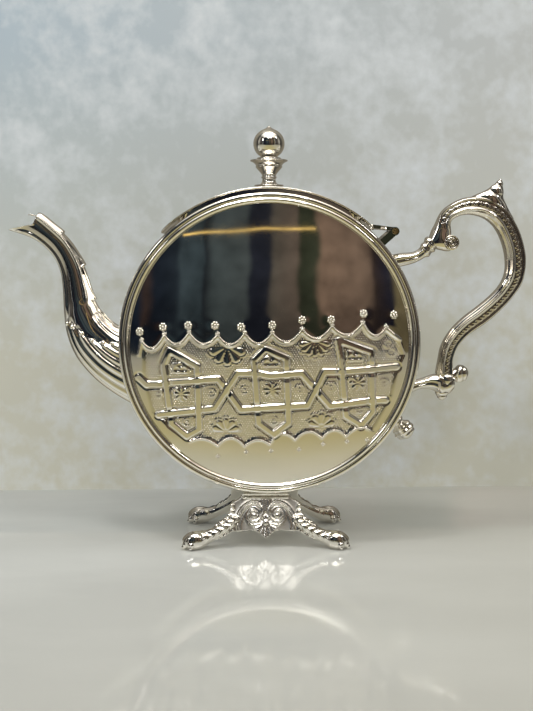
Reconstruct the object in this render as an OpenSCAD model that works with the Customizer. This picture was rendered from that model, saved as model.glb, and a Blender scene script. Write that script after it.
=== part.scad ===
/* [Drum body] */
// Outer radius of the drum's side wall
band_r = 87; // [80:0.5:94]
// Distance from the table to the drum's centre
drum_height = 122.5; // [118:0.5:130]
// Half of the drum's depth, up to the seat of each disc
band_half_depth = 26; // [24:0.5:30]
// Thickness of the side wall
band_wall = 0.9; // [0.7:0.1:1.4]
// Thickness of the two stamped discs
disc_wall = 0.8; // [0.6:0.1:1.2]
// How far a disc bulges out in the middle
dome_rise = 11; // [7:0.5:14]
// Width of the swaged bead round the dome
bead_width = 3.7; // [3:0.1:5]
// How far the rim ring stands out past the side wall
rim_stand = 3; // [2:0.1:4]
// Radius of the round edge of the rim ring
rim_round = 1.9; // [1.6:0.1:2.2]

/* [Mouth and lid] */
// Half length of the filling mouth, along the drum
mouth_half_x = 54; // [48:0.5:56]
// Half width of the filling mouth
mouth_half_y = 18; // [15:0.5:19.5]
// Corner radius of the mouth
mouth_corner = 6; // [4:0.5:8]
// Thickness of the mouth's collar
collar_wall = 1; // [0.8:0.1:1.5]
// Height of the collar above the side wall
collar_stand = 5; // [4:0.1:6]
// Thickness of the lid's cover
lid_wall = 1; // [0.8:0.1:1.5]
// How far the cover reaches past the collar, lengthwise
lid_reach_x = 9; // [7:0.5:10]
// How far the cover reaches past the collar, sideways
lid_reach_y = 5; // [3:0.5:6]
// How far the cover sits towards the spout
lid_shift = 1.1; // [0:0.1:2]
// Corner radius of the lid's cover
lid_corner = 8; // [6:0.5:10]
// Depth of the skirt that hangs into the mouth
skirt_depth = 6.3; // [4:0.1:7]
// Thickness of the skirt
skirt_wall = 0.8; // [0.6:0.1:1.2]
// Play between skirt and collar at the sides
skirt_side_play = 0.6; // [0.4:0.1:1]
// Play between skirt and collar at the ends
skirt_end_play = 2; // [1.8:0.1:3]
// Gap under the closed cover
lid_gap = 0.3; // [0.2:0.05:0.4]

/* [Finial] */
// Radius of the finial's foot
finial_foot_r = 9.2; // [8:0.1:10]
// Radius of the narrow neck
finial_neck_r = 5; // [4.2:0.1:5.5]
// Radius of the cup under the ball
finial_cup_r = 11.2; // [10.5:0.1:12.5]
// Height of the baluster, from the lid to the ball
baluster_height = 19; // [18:0.2:22]
// Radius of the ball
ball_r = 9.5; // [8.5:0.1:10.5]
// Height of the ball's point
ball_point = 1.8; // [1.2:0.1:3]
// Radius of the threaded stud
stud_r = 2; // [1.5:0.1:2.2]

/* [Hinge] */
// Height of the hinge pin above the side wall
hinge_stand = 14.8; // [14.2:0.2:17]
// Distance from the end of the lid's cover to the hinge pin, along the drum
hinge_setback = 13.75; // [13:0.25:15]
// Radius of the hinge pin
hinge_pin_r = 1.2; // [1:0.05:1.5]
// Outer radius of the knuckles
knuckle_r = 2.6; // [2.4:0.1:3]
// Half width of the lid's knuckle
lid_knuckle_half = 4.8; // [4:0.1:6]
// Width of each knuckle on the body
body_knuckle_width = 5; // [4:0.1:6]
// Thickness of the bracket on the body
bracket_thickness = 4.4; // [3.6:0.1:5]
// Thickness of the lid's leaf
leaf_thickness = 2.2; // [1.8:0.1:2.6]

/* [Spout] */
// Wall of the cast spout
spout_wall = 1.4; // [1:0.1:2]
// Half depth of the spout at its root
spout_root_half_depth = 16; // [14:0.5:18]
// Radius of the strainer's holes
strainer_hole_r = 1.5; // [1:0.1:1.8]
// Distance between the strainer's holes
strainer_pitch = 5.4; // [5:0.1:6.5]

/* [Handle] */
// Half depth of the grip
grip_half_depth = 6.2; // [5:0.1:7.5]
// Half depth of the two arms
arm_half_depth = 4.2; // [3.6:0.1:5]
// Thickness of the cast ears
ear_thickness = 8; // [6:0.5:9]
// Radius of the volute at the grip's upper end
volute_r = 4.2; // [3.6:0.1:5]
// Radius of the spigots that join the arms to the grip
spigot_r = 2.2; // [1.8:0.1:2.6]
// Length of the spigots
spigot_length = 6; // [4:0.5:8]

/* [Feet] */
// Thickness of the cast aprons
apron_thickness = 3; // [2.4:0.1:3.6]
// How far the paws stand out from the drum's side wall
paw_stand = 5; // [3:0.5:7]
// Half of the distance between the two paws of an apron
paw_half_span = 43; // [38:0.5:45]
// How far the feet sit off the drum's middle, towards the spout
foot_offset = 2.4; // [0:0.2:4]
// Radius of the paws
paw_r = 5.6; // [5:0.1:6]
// How much of a paw is flattened where it stands
paw_flat = 0.6; // [0.4:0.1:1]

/* [Hidden] */
$fn = 96;

silver = "gainsboro";
cast_silver = "silver";
eps = 0.01;
fit_clearance = 0.02;
running_clearance = 0.07;
side_clearance = 0.2;

dome_r = band_r - bead_width;
rim_r = band_r + rim_stand;
hinge_reach = band_r + hinge_stand;
leg_height = drum_height - band_r;
drum_scale = band_r / 87;
leg_scale = leg_height / 35.5;
lid_inner_r = band_r + collar_stand + lid_gap;
lid_outer_r = lid_inner_r + lid_wall;
lid_half_x = mouth_half_x + collar_wall + lid_reach_x - 0.4;
lid_half_y = mouth_half_y + collar_wall + lid_reach_y;
hinge_x = lid_half_x - lid_shift + hinge_setback;
hinge_angle = asin(hinge_x / hinge_reach);
hinge_z = drum_height + hinge_reach * cos(hinge_angle);
bead_rise = 1;
groove_depth = 0.4;
disc_face = band_half_depth + disc_wall;

// ---------- helpers ----------

// Moves the drum's axis to its place, with +Z turned to the front.
module on_drum_axis() {
    translate([0, 0, drum_height]) rotate([90, 0, 0]) children();
}

// Moves the origin to the drum's centre.
module at_drum() {
    translate([0, 0, drum_height]) children();
}

// A full-depth cylinder about the drum's axis.
module drum_cylinder(r, half_depth = band_r) {
    rotate([90, 0, 0]) cylinder(r = r, h = 2 * half_depth, center = true);
}

// A block with round corners in plan, centred on the origin.
module round_block(half_x, half_y, corner, height) {
    translate([-half_x + corner, -half_y, 0]) cube([2 * (half_x - corner), 2 * half_y, height]);
    translate([-half_x, -half_y + corner, 0]) cube([2 * half_x, 2 * (half_y - corner), height]);
    for (sx = [-1, 1], sy = [-1, 1])
        translate([sx * (half_x - corner), sy * (half_y - corner), 0])
            cylinder(r = corner, h = height, $fn = 48);
}

function arc(cx, cy, r, from, to, steps) =
    [for (i = [0 : steps]) let (a = from + (to - from) * i / steps) [cx + r * cos(a), cy + r * sin(a)]];

// Catmull-Rom curve through rows of numbers, with the end rows kept.
function row_at(rows, i) = rows[max(0, min(len(rows) - 1, i))];
function spline(p0, p1, p2, p3, t) =
    0.5 * (2 * p1 + (p2 - p0) * t + (2 * p0 - 5 * p1 + 4 * p2 - p3) * t * t
        + (3 * p1 - p0 - 3 * p2 + p3) * t * t * t);
function smooth_rows(rows, steps) = concat(
    [for (i = [0 : len(rows) - 2], k = [0 : steps - 1])
        spline(row_at(rows, i - 1), rows[i], rows[i + 1], row_at(rows, i + 2), k / steps)],
    [rows[len(rows) - 1]]);

// A station is [outer x, outer z, inner x, inner z, half depth]: two points of the side
// outline and the depth there. This gives a point of the ellipse through them.
function station_point(s, angle, inset = 0) =
    let (a = [s[0], 0, s[1]], b = [s[2], 0, s[3]], half = (a - b) / 2, size = norm(half))
    (a + b) / 2 + half / size * (size - inset) * cos(angle) + [0, (s[4] - inset) * sin(angle), 0];

// Stations laid out for the usual drum, moved out to this one; depths are parts of half_depth.
function placed(rows, half_depth) =
    [for (r = rows) [r[0] * drum_scale, r[1] * drum_scale, r[2] * drum_scale, r[3] * drum_scale,
        r[4] * half_depth]];

// A solid limb with elliptical sections through the stations.
module limb(stations, sides, steps) {
    rows = smooth_rows(stations, steps);
    n = len(rows);
    points = [for (s = rows, k = [0 : sides - 1]) station_point(s, 360 * k / sides)];
    skin = [for (i = [0 : n - 2], k = [0 : sides - 1]) let (q = (k + 1) % sides)
        [i * sides + k, (i + 1) * sides + k, (i + 1) * sides + q, i * sides + q]];
    caps = [[for (k = [0 : sides - 1]) k], [for (k = [sides - 1 : -1 : 0]) (n - 1) * sides + k]];
    polyhedron(points, concat(skin, caps), convexity = 6);
}

// Half of a hollow limb, on the side of +Y or -Y that side names, split at Y = 0.
module half_tube(stations, wall, sides, steps, side) {
    rows = smooth_rows(stations, steps);
    n = len(rows);
    m = 2 * (sides + 1);
    points = [for (s = rows) each concat(
        [for (k = [0 : sides]) station_point(s, side * 180 * k / sides)],
        [for (k = [sides : -1 : 0]) station_point(s, side * 180 * k / sides, wall)])];
    skin = [for (i = [0 : n - 2], k = [0 : m - 1]) let (q = (k + 1) % m)
        side > 0
            ? [i * m + k, (i + 1) * m + k, (i + 1) * m + q, i * m + q]
            : [i * m + q, (i + 1) * m + q, (i + 1) * m + k, i * m + k]];
    first = [for (k = [0 : m - 1]) k];
    last = [for (k = [m - 1 : -1 : 0]) (n - 1) * m + k];
    caps = side > 0 ? [first, last]
        : [[for (k = [m - 1 : -1 : 0]) k], [for (k = [0 : m - 1]) (n - 1) * m + k]];
    polyhedron(points, concat(skin, caps), convexity = 6);
}

// ---------- drum body ----------

strainer_angle = 13;
strainer_rows = 3;
strainer_columns = 2;

// Rows of small holes that hold the leaves back at the root of the spout.
module strainer_holes() {
    row_step = strainer_pitch * 0.866;
    for (row = [-strainer_rows : strainer_rows], column = [-strainer_columns : strainer_columns])
        let (y = (column + (row % 2 == 0 ? 0 : 0.5)) * strainer_pitch)
            if (abs(y) < (strainer_columns + 0.25) * strainer_pitch)
                rotate([0, -90 - strainer_angle + row * row_step / band_r * 180 / PI, 0])
                    translate([0, y, band_r - 4]) cylinder(r = strainer_hole_r, h = 8, $fn = 24);
}

module mouth_block(grow, bottom, top) {
    translate([0, 0, bottom])
        round_block(mouth_half_x + grow, mouth_half_y + grow, mouth_corner + grow, top - bottom);
}

module drum_band() {
    color(silver) at_drum() difference() {
        drum_cylinder(band_r, band_half_depth);
        drum_cylinder(band_r - band_wall, band_half_depth + 1);
        mouth_block(collar_wall, band_r / 2, 2 * band_r);
        strainer_holes();
    }
}

// Outer profile of a disc: dome, groove, swaged bead and flange, as [radius, depth].
dome_sphere_r = (dome_r * dome_r + dome_rise * dome_rise) / (2 * dome_rise);
function disc_profile() =
    let (reach = asin(dome_r / dome_sphere_r), middle = (dome_r + band_r) / 2)
    concat(
        [for (i = [0 : 16]) let (a = reach * i / 16)
            [dome_sphere_r * sin(a), disc_face + dome_rise - dome_sphere_r * (1 - cos(a))]],
        [[dome_r + 0.2, disc_face - groove_depth]],
        [for (i = [0 : 6]) let (r = dome_r + 0.5 + (band_r - dome_r - 0.5) * i / 6)
            [r, disc_face + bead_rise * sin(180 * i / 6)]]);

module disc() {
    outer = disc_profile();
    inner = [for (i = [len(outer) - 1 : -1 : 0]) [outer[i][0], outer[i][1] - disc_wall]];
    color(silver) on_drum_axis() rotate_extrude($fn = 128) polygon(concat(outer, inner));
}

module front_disc() {
    disc();
}

module rear_disc() {
    mirror([0, 1, 0]) disc();
}

// A bead ring that clasps the edge of the disc and the end of the side wall.
module rim() {
    ring_middle = rim_r - rim_round;
    color(silver) on_drum_axis() difference() {
        union() {
            translate([0, 0, disc_face - rim_round + 0.4])
                rotate_extrude($fn = 128) translate([ring_middle, 0]) circle(r = rim_round, $fn = 32);
            translate([0, 0, disc_face - rim_round - 3])
                cylinder(r = rim_r - 0.9, h = 3.4);
        }
        translate([0, 0, -1]) cylinder(r = band_r, h = 60);
    }
}

module front_rim() {
    rim();
}

module rear_rim() {
    mirror([0, 1, 0]) rim();
}

// The raised wall round the filling mouth, which follows the drum's curve.
module mouth_collar() {
    color(silver) at_drum() intersection() {
        difference() {
            mouth_block(collar_wall, band_r / 2, 2 * band_r);
            mouth_block(0, band_r / 3, 3 * band_r);
        }
        difference() {
            drum_cylinder(band_r + collar_stand);
            drum_cylinder(band_r - 2 * band_wall);
        }
    }
}

// ---------- lid ----------

module lid_cover() {
    color(silver) at_drum() difference() {
        intersection() {
            drum_cylinder(lid_outer_r);
            translate([-lid_shift, 0, band_r / 2]) round_block(lid_half_x, lid_half_y, lid_corner, band_r);
        }
        drum_cylinder(lid_inner_r);
        translate([0, 0, band_r - 5]) cylinder(r = stud_r + 0.1, h = 30, $fn = 32);
    }
}

// The wall under the cover that keeps it centred in the mouth.
module lid_skirt() {
    half_x = mouth_half_x - skirt_end_play;
    half_y = mouth_half_y - skirt_side_play;
    color(silver) at_drum() intersection() {
        difference() {
            translate([0, 0, band_r / 2]) round_block(half_x, half_y, mouth_corner, band_r);
            translate([0, 0, band_r / 3])
                round_block(half_x - skirt_wall, half_y - skirt_wall, mouth_corner - skirt_wall, 2 * band_r);
        }
        difference() {
            drum_cylinder(lid_inner_r);
            drum_cylinder(lid_inner_r - skirt_depth);
        }
    }
}

// ---------- finial ----------

// Height of the ball's middle above the lid.
ball_seat = baluster_height;
ball_middle = ball_seat + ball_r * 0.86;
stud_top = ball_middle - 2;
stud_bottom = -lid_wall - 5.2;
washer_thickness = 0.8;
nut_thickness = 3.2;

// Moves the origin to the top of the lid.
module on_lid() {
    translate([0, 0, drum_height + lid_outer_r]) children();
}

function baluster_profile() =
    let (f = finial_foot_r, n = finial_neck_r, c = finial_cup_r, h = baluster_height)
    concat(
        [[0, -0.8], [f - 0.3, -0.8]],
        arc(f - 1.3, 1.2, 1.3, -60, 75, 5),
        [[f - 1.7, 3.2], [f - 1.7, 4]],
        arc(n + 2.4, h * 0.4, 2.4, 250, 130, 6),
        arc(n, h * 0.54, 0.8, -60, 60, 4),
        [[n + 0.6, h * 0.58], [n + 2.2, h * 0.66], [c * 0.76, h * 0.75], [c * 0.86, h * 0.83]],
        arc(c - 1.6, h - 1.8, 1.8, -50, 60, 5),
        [[c - 2.4, h], [0, h]]);

module stud_bore(bottom, top) {
    translate([0, 0, bottom]) cylinder(r = stud_r + fit_clearance, h = top - bottom, $fn = 32);
}

module finial_baluster() {
    color(cast_silver) difference() {
        on_lid() rotate_extrude($fn = 64) polygon(baluster_profile());
        on_lid() stud_bore(-2, ball_seat + 1);
        at_drum() drum_cylinder(lid_outer_r);
    }
}

module finial_ball() {
    squash = 0.96;
    profile = concat(
        [[0, ball_seat]],
        [for (a = [-58 : 8 : 78]) [ball_r * cos(a), max(ball_seat, ball_middle + ball_r * squash * sin(a))]],
        [[0.7, ball_middle + ball_r * squash + ball_point * 0.3], [0, ball_middle + ball_r * squash + ball_point]]);
    color(silver) difference() {
        on_lid() rotate_extrude($fn = 64) polygon(profile);
        on_lid() stud_bore(ball_seat - 1, stud_top + 1);
    }
}

module finial_stud() {
    color(cast_silver) on_lid() translate([0, 0, stud_bottom])
        cylinder(r = stud_r, h = stud_top - stud_bottom, $fn = 32);
}

module finial_washer() {
    color(cast_silver) on_lid() translate([0, 0, -lid_wall - washer_thickness - 0.15]) difference() {
        cylinder(r = 4.5, h = washer_thickness, $fn = 48);
        translate([0, 0, -1]) cylinder(r = stud_r + fit_clearance, h = 3, $fn = 32);
    }
}

module finial_nut() {
    color(cast_silver) on_lid()
        translate([0, 0, -lid_wall - washer_thickness - nut_thickness - 0.15]) difference() {
            cylinder(r = 3.9, h = nut_thickness, $fn = 6);
            translate([0, 0, -1]) cylinder(r = stud_r + fit_clearance, h = 5, $fn = 32);
        }
}

// ---------- hinge ----------

leaf_length = 20.6 * drum_scale;
leaf_tilt = 6;
bracket_half = lid_knuckle_half + side_clearance + body_knuckle_width;

// Moves the origin to the hinge pin.
module at_hinge() {
    translate([hinge_x, 0, hinge_z]) children();
}

module across(r, half) {
    rotate([90, 0, 0]) cylinder(r = r, h = 2 * half, center = true, $fn = 48);
}

// The leaf on the lid: a scalloped strap that ends in the middle knuckle.
module hinge_lid_leaf() {
    wide = lid_knuckle_half + 4.5;
    color(cast_silver) difference() {
        at_hinge() difference() {
            union() {
                across(knuckle_r, lid_knuckle_half);
                rotate([0, leaf_tilt, 0]) translate([0, 0, knuckle_r - leaf_thickness])
                    linear_extrude(leaf_thickness)
                        polygon([[0, -lid_knuckle_half], [0, lid_knuckle_half],
                            [-5, lid_knuckle_half], [-9, wide], [-14, wide], [-leaf_length, wide - 4],
                            [-leaf_length, 4 - wide], [-14, -wide], [-9, -wide], [-5, -lid_knuckle_half]]);
            }
            across(hinge_pin_r + running_clearance, 20);
        }
        at_drum() drum_cylinder(lid_outer_r);
    }
}

// The bracket on the drum: a radial strap, pierced twice, with a knuckle at each side.
module hinge_bracket() {
    shoulder = hinge_reach - knuckle_r - 1;
    slot_half = 2.2;
    color(cast_silver) difference() {
        at_drum() rotate([0, hinge_angle, 0]) {
            difference() {
                union() {
                    translate([-bracket_thickness / 2, -bracket_half, band_r - 2])
                        cube([bracket_thickness, 2 * bracket_half, shoulder - band_r + 2]);
                    for (s = [-1, 1])
                        translate([-bracket_thickness / 2,
                            s * (bracket_half - body_knuckle_width / 2) - body_knuckle_width / 2,
                            shoulder - 1])
                            cube([bracket_thickness, body_knuckle_width, knuckle_r + 2]);
                }
                for (s = [-1, 1])
                    translate([-bracket_thickness, s * 4.6 - slot_half / 2, band_r + 3])
                        cube([2 * bracket_thickness, slot_half, shoulder - band_r - 5.5]);
            }
            for (s = [-1, 1])
                translate([0, s * (bracket_half - body_knuckle_width / 2), hinge_reach])
                    across(knuckle_r, body_knuckle_width / 2);
        }
        at_hinge() across(hinge_pin_r + fit_clearance, 30);
        at_hinge() across(knuckle_r + 0.4, lid_knuckle_half + side_clearance);
        at_drum() drum_cylinder(band_r);
    }
}

module hinge_pin() {
    head_height = 0.9;
    color(cast_silver) at_hinge() {
        across(hinge_pin_r, bracket_half + eps);
        for (s = [-1, 1])
            translate([0, s * (bracket_half + head_height / 2), 0])
                across(hinge_pin_r + 0.7, head_height / 2);
    }
}

// ---------- spout ----------

// Stations from the drum to the lip, about the drum's centre.
spout_stations = placed([
    [-70, -47, -80, 3, 1], [-83.4, -39.5, -86, 6.6, 0.97], [-96.6, -31.6, -94, 10, 0.91],
    [-108.6, -22, -99, 13.8, 0.81], [-118.8, -9.5, -103, 18.3, 0.7], [-124.2, 4, -105.6, 23, 0.6],
    [-126, 17.5, -107.8, 27.7, 0.525], [-126.4, 30, -109.6, 34.4, 0.475],
    [-127.4, 41, -112.6, 45, 0.44], [-130.4, 49.8, -116.4, 53.6, 0.412],
    [-135.2, 56.2, -122, 62.8, 0.394], [-141.6, 61.6, -130.4, 71, 0.375],
    [-148, 64.8, -139.6, 78.6, 0.338], [-153.4, 66.6, -147.6, 79, 0.275],
    [-158.6, 68.2, -156, 74, 0.15]], spout_root_half_depth);
lip_notch = [-143.4, 71.6] * drum_scale;
lip_peak = [-140.4, 77.9] * drum_scale;
lip_tip = [-158.6, 68.9] * drum_scale;

// What is cut away above the long lower lip.
module mouth_of_spout() {
    rotate([90, 0, 0]) linear_extrude(40, center = true)
        polygon([lip_notch, lip_tip, lip_tip + [-12, -1], lip_tip + [-12, 30], lip_peak + [2, 18], lip_peak]);
}

module spout_half(side) {
    color(cast_silver) at_drum() difference() {
        half_tube(spout_stations, spout_wall, 9, 2, side);
        drum_cylinder(band_r, band_half_depth);
        mouth_of_spout();
    }
}

module spout_front_half() {
    spout_half(-1);
}

module spout_rear_half() {
    spout_half(1);
}

// ---------- handle ----------

upper_arm_rows = [
    [70, 43.6, 68, 51.6, 1], [82, 46.2, 80.4, 54.2, 1], [90.4, 48.6, 89, 55.2, 0.929],
    [97.4, 52.6, 93.8, 58.6, 1], [102.6, 57.2, 97.4, 64.4, 1.19]];
// How much of the hinge's turn each station follows, so that the arm's root keeps clear of it.
arm_follow = [1, 1, 0.7, 0.2, 0];
root_turn = hinge_angle - asin(76.25 / 101.8);
function turned(x, z, a) = [x * cos(a) + z * sin(a), z * cos(a) - x * sin(a)];
upper_arm_stations = placed([for (i = [0 : 4]) let (r = upper_arm_rows[i], a = root_turn * arm_follow[i])
    concat(turned(r[0], r[1], a), turned(r[2], r[3], a), [r[4]])], arm_half_depth);
grip_stations = placed([
    [103.5, 56.5, 98.5, 64, 0.903], [111.9, 56, 100, 68.5, 1], [111.9, 66.5, 101.6, 71.5, 0.903],
    [111.7, 73.2, 105.1, 78.8, 0.806], [116, 76.6, 110.5, 83.8, 0.871], [122.8, 77.8, 119.8, 88, 0.952],
    [130.7, 76, 132.3, 88.4, 1], [137, 71.6, 144.5, 82.2, 1], [141.2, 65.4, 151.7, 72.2, 1],
    [144.3, 57.4, 156, 62, 1], [145.7, 49.4, 158.4, 50.4, 0.952], [145.3, 41.4, 156.8, 37.4, 0.903],
    [141.8, 34, 151.3, 28, 0.871], [136, 27.6, 143.9, 19.6, 0.855], [128.1, 21, 135, 11.6, 0.839],
    [119.2, 14, 125.1, 4.8, 0.839], [111.7, 6, 120, 0, 0.839], [106.7, -3, 116.6, -5, 0.839],
    [104.9, -12, 114.2, -12.6, 0.871], [103.6, -20, 114.8, -20.6, 0.935]], grip_half_depth);
lower_arm_stations = placed([
    [76, -34.6, 76, -27.6, 1.048], [87.4, -32.4, 87.4, -25, 0.952], [95, -29.8, 95.4, -23, 0.905],
    [101.4, -30.4, 101.6, -20.8, 1.095], [108, -33.6, 107, -20.4, 1.381], [115, -30, 115, -20.6, 1.19]], arm_half_depth);
upper_joint = [100.2, 60.8] * drum_scale;
upper_joint_turn = 50;
lower_joint = [109.2, -20.4] * drum_scale;

// A flat cast ear with this side outline.
module ear(outline, thickness = ear_thickness) {
    rotate([90, 0, 0]) linear_extrude(thickness, center = true) polygon(outline * drum_scale);
}

// A spigot that starts at a joint and leans by turn from straight up, towards the handle.
module spigot(joint, turn, radius, length) {
    translate([joint[0], 0, joint[1]]) rotate([0, turn, 0]) translate([0, 0, -1])
        cylinder(r = radius, h = length + 1, $fn = 32);
}

module handle_upper_arm() {
    color(cast_silver) at_drum() difference() {
        union() {
            limb(upper_arm_stations, 14, 3);
            spigot(upper_joint, upper_joint_turn, spigot_r, spigot_length);
        }
        drum_cylinder(band_r, band_half_depth);
    }
}

// The grip: a bow with a volute at its upper end and a pointed ear on its back.
module handle_grip() {
    color(cast_silver) at_drum() difference() {
        union() {
            limb(grip_stations, 14, 2);
            ear([[122, 86], [128.4, 88.6], [134, 92], [139.8, 99.4], [141.2, 99.8],
                [142.4, 98.6], [142.2, 93.4], [143, 88], [146.4, 80], [141, 74], [128, 80]]);
            translate([111.4 * drum_scale, 0, 60.6 * drum_scale]) across(volute_r, grip_half_depth + 0.2);
        }
        spigot(upper_joint, upper_joint_turn, spigot_r + fit_clearance, spigot_length + 0.5);
        spigot(lower_joint, 0, spigot_r + fit_clearance, spigot_length + 0.5);
    }
}

// The lower arm, with an ear behind the grip and a drop beneath it.
module handle_lower_arm() {
    color(cast_silver) at_drum() difference() {
        union() {
            difference() {
                union() {
                    limb(lower_arm_stations, 14, 3);
                    ear([[111, -20.7], [117.6, -17.4], [123.2, -20], [122.6, -23.4], [117.6, -27.6], [110, -29]]);
                    ear([[100, -29.4], [104.4, -34.8], [108.4, -38.4], [112, -36], [113, -28], [103, -24]]);
                }
                translate([band_r, -band_half_depth / 2, lower_joint[1] - 0.2]) cube([band_r, band_half_depth, band_r / 3]);
            }
            spigot(lower_joint - [0, 0.2], 0, spigot_r, spigot_length);
            ear([[115.8, -20.8], [118.6, -16], [123.2, -19.4], [121.4, -24]], ear_thickness - 1);
        }
        drum_cylinder(band_r, band_half_depth);
    }
}

// ---------- drop on the drum ----------

drop_angle = 32;
drop_hang = 20;

// A small cast leaf bud on a stem, under the handle.
module leaf_drop() {
    neck = band_r + 7.6;
    color(cast_silver) at_drum() difference() {
        rotate([0, 90 + drop_angle, 0]) {
            translate([0, 0, band_r - 3]) cylinder(r = 2.6, h = neck - band_r + 3, $fn = 32);
            translate([0, 0, neck]) rotate([0, drop_hang, 0]) translate([0, 0, -2.4])
                rotate_extrude($fn = 48)
                    polygon([[0, 0], [3, 0], [4.2, 2], [3.2, 3.8], [5.2, 6.4], [6, 9.4], [5.2, 12.2], [1, 15.4], [0, 15.4]]);
        }
        drum_cylinder(band_r, band_half_depth);
    }
}

// ---------- feet ----------

saddle_half_x = 12 * leg_scale;
saddle_thickness = 2;
saddle_depth = 6;
paw_y = band_half_depth + paw_stand;
rim_inner_y = disc_face - rim_round - 3;
apron_top_y = rim_inner_y - 3.82;
apron_lean = atan((paw_y - apron_top_y) / leg_height);

// Half of the apron's outline, from its top middle down to the pendant, as [x, height].
apron_half = [
    [0, 42], [13, 42], [13.4, 31.9], [16, 28.3], [21.2, 25.5], [21.8, 20.5], [24.4, 17.4],
    [30, 14], [34, 9], [30, 5], [24, 7.6], [20, 9.9], [14.6, 10.1], [9, 10.7], [5, 9.6], [0, 5.9]] * leg_scale;
knee = [23.4, 12.6] * leg_scale;
knee_r = 3.6 * leg_scale;

// How far from the middle plane the apron stands at a height.
function apron_y(height) = paw_y - height * tan(apron_lean);

module apron_plate() {
    other = [for (i = [len(apron_half) - 2 : -1 : 1]) [-apron_half[i][0], apron_half[i][1]]];
    translate([0, -paw_y, 0]) rotate([90 - apron_lean, 0, 0])
        translate([0, 0, -apron_thickness / 2]) linear_extrude(apron_thickness)
            polygon(concat(apron_half, other));
}

module leg(side) {
    hull() {
        translate([side * knee[0], -apron_y(knee[1]), knee[1]]) sphere(r = knee_r, $fn = 24);
        translate([side * paw_half_span, -paw_y, paw_r - paw_flat]) sphere(r = paw_r, $fn = 32);
    }
}

// A cast apron with two legs, and a saddle that is soldered under the side wall.
module foot() {
    color(cast_silver) difference() {
        translate([-foot_offset, 0, 0]) union() {
            apron_plate();
            leg(-1);
            leg(1);
            translate([-saddle_half_x, -rim_inner_y + 0.4, drum_height - band_r - saddle_thickness])
                cube([2 * saddle_half_x, saddle_depth, saddle_thickness + 3]);
        }
        translate([-100, -100, -20]) cube([200, 200, 20]);
        at_drum() drum_cylinder(band_r);
    }
}

module front_foot() {
    foot();
}

module rear_foot() {
    mirror([0, 1, 0]) foot();
}

drum_band();
front_disc();
rear_disc();
front_rim();
rear_rim();
mouth_collar();
lid_cover();
lid_skirt();
finial_baluster();
finial_ball();
finial_stud();
finial_washer();
finial_nut();
hinge_lid_leaf();
hinge_bracket();
hinge_pin();
spout_front_half();
spout_rear_half();
handle_upper_arm();
handle_grip();
handle_lower_arm();
leaf_drop();
front_foot();
rear_foot();
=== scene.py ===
import math

import bmesh
import bpy
import numpy as np
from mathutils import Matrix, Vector


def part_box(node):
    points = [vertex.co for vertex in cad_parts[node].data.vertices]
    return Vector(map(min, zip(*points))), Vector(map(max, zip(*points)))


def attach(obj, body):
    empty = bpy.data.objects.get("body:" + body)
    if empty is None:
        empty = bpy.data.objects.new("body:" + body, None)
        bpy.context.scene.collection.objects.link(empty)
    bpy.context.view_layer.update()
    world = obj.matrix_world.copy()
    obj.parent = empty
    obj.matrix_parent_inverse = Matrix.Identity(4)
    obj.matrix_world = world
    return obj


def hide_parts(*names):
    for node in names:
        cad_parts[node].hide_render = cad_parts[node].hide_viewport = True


bl_info = {
    "name": "Silver Drum Teapot",
    "version": (1, 0, 0),
    "blender": (4, 5, 0),
    "location": "3D View > Sidebar > Teapot",
    "description": "Builds the discs, rims, lid, finial, spout, handle and feet of a flat drum teapot",
    "category": "Add Mesh",
}

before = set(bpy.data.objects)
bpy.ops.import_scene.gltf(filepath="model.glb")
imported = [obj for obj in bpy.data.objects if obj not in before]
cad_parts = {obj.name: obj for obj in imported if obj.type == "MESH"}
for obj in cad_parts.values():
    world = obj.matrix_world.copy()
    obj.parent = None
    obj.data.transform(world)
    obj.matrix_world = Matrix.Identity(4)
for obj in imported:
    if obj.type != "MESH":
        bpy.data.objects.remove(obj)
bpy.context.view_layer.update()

MM = 0.001
BAND_LOW, BAND_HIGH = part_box("drum_band")
BAND_R = (BAND_HIGH.x - BAND_LOW.x) / 2 / MM
DRUM_Z = (BAND_HIGH.z + BAND_LOW.z) / 2 / MM
BAND_HALF_DEPTH = BAND_HIGH.y / MM
DISC_WALL = 0.8
DISC_FACE = BAND_HALF_DEPTH + DISC_WALL
DOME_R = BAND_R - 3.7
RIM_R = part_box("front_rim")[1].x / MM
LID_OUTER_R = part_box("lid_cover")[1].z / MM - DRUM_Z
LID_INNER_R = LID_OUTER_R - 1

# The rear half of the pot is the front half turned round.
FRONT, REAR = np.array([1, 1, 1]), np.array([-1, -1, 1])


# ---------- mesh helpers ----------


def smoothstep(low, high, value):
    t = np.clip((value - low) / (high - low), 0, 1)
    return t * t * (3 - 2 * t)


def hump(value, centre, width):
    """A smooth rise to 1 at the centre, which has died away at about two widths to each side."""
    return np.exp(-(((value - centre) / width) ** 2))


def unit(vectors):
    return vectors / np.linalg.norm(vectors, axis=-1, keepdims=True)


def grid_quads(rows, columns, round_rows=False, round_columns=False, start=0):
    """Faces of a grid of points that is stored row by row."""
    i = np.arange(rows if round_rows else rows - 1)[:, None]
    j = np.arange(columns if round_columns else columns - 1)[None, :]
    up, over = (i + 1) % rows, (j + 1) % columns
    corners = [i * columns + j, i * columns + over, up * columns + over, up * columns + j]
    return np.stack(np.broadcast_arrays(*corners), -1).reshape(-1, 4) + start


def fan_faces(ring, centre):
    """Triangles from a closed ring of points to a centre point."""
    ring = np.asarray(ring)
    return np.stack([ring, np.roll(ring, -1), np.full(len(ring), centre)], -1)


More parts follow.
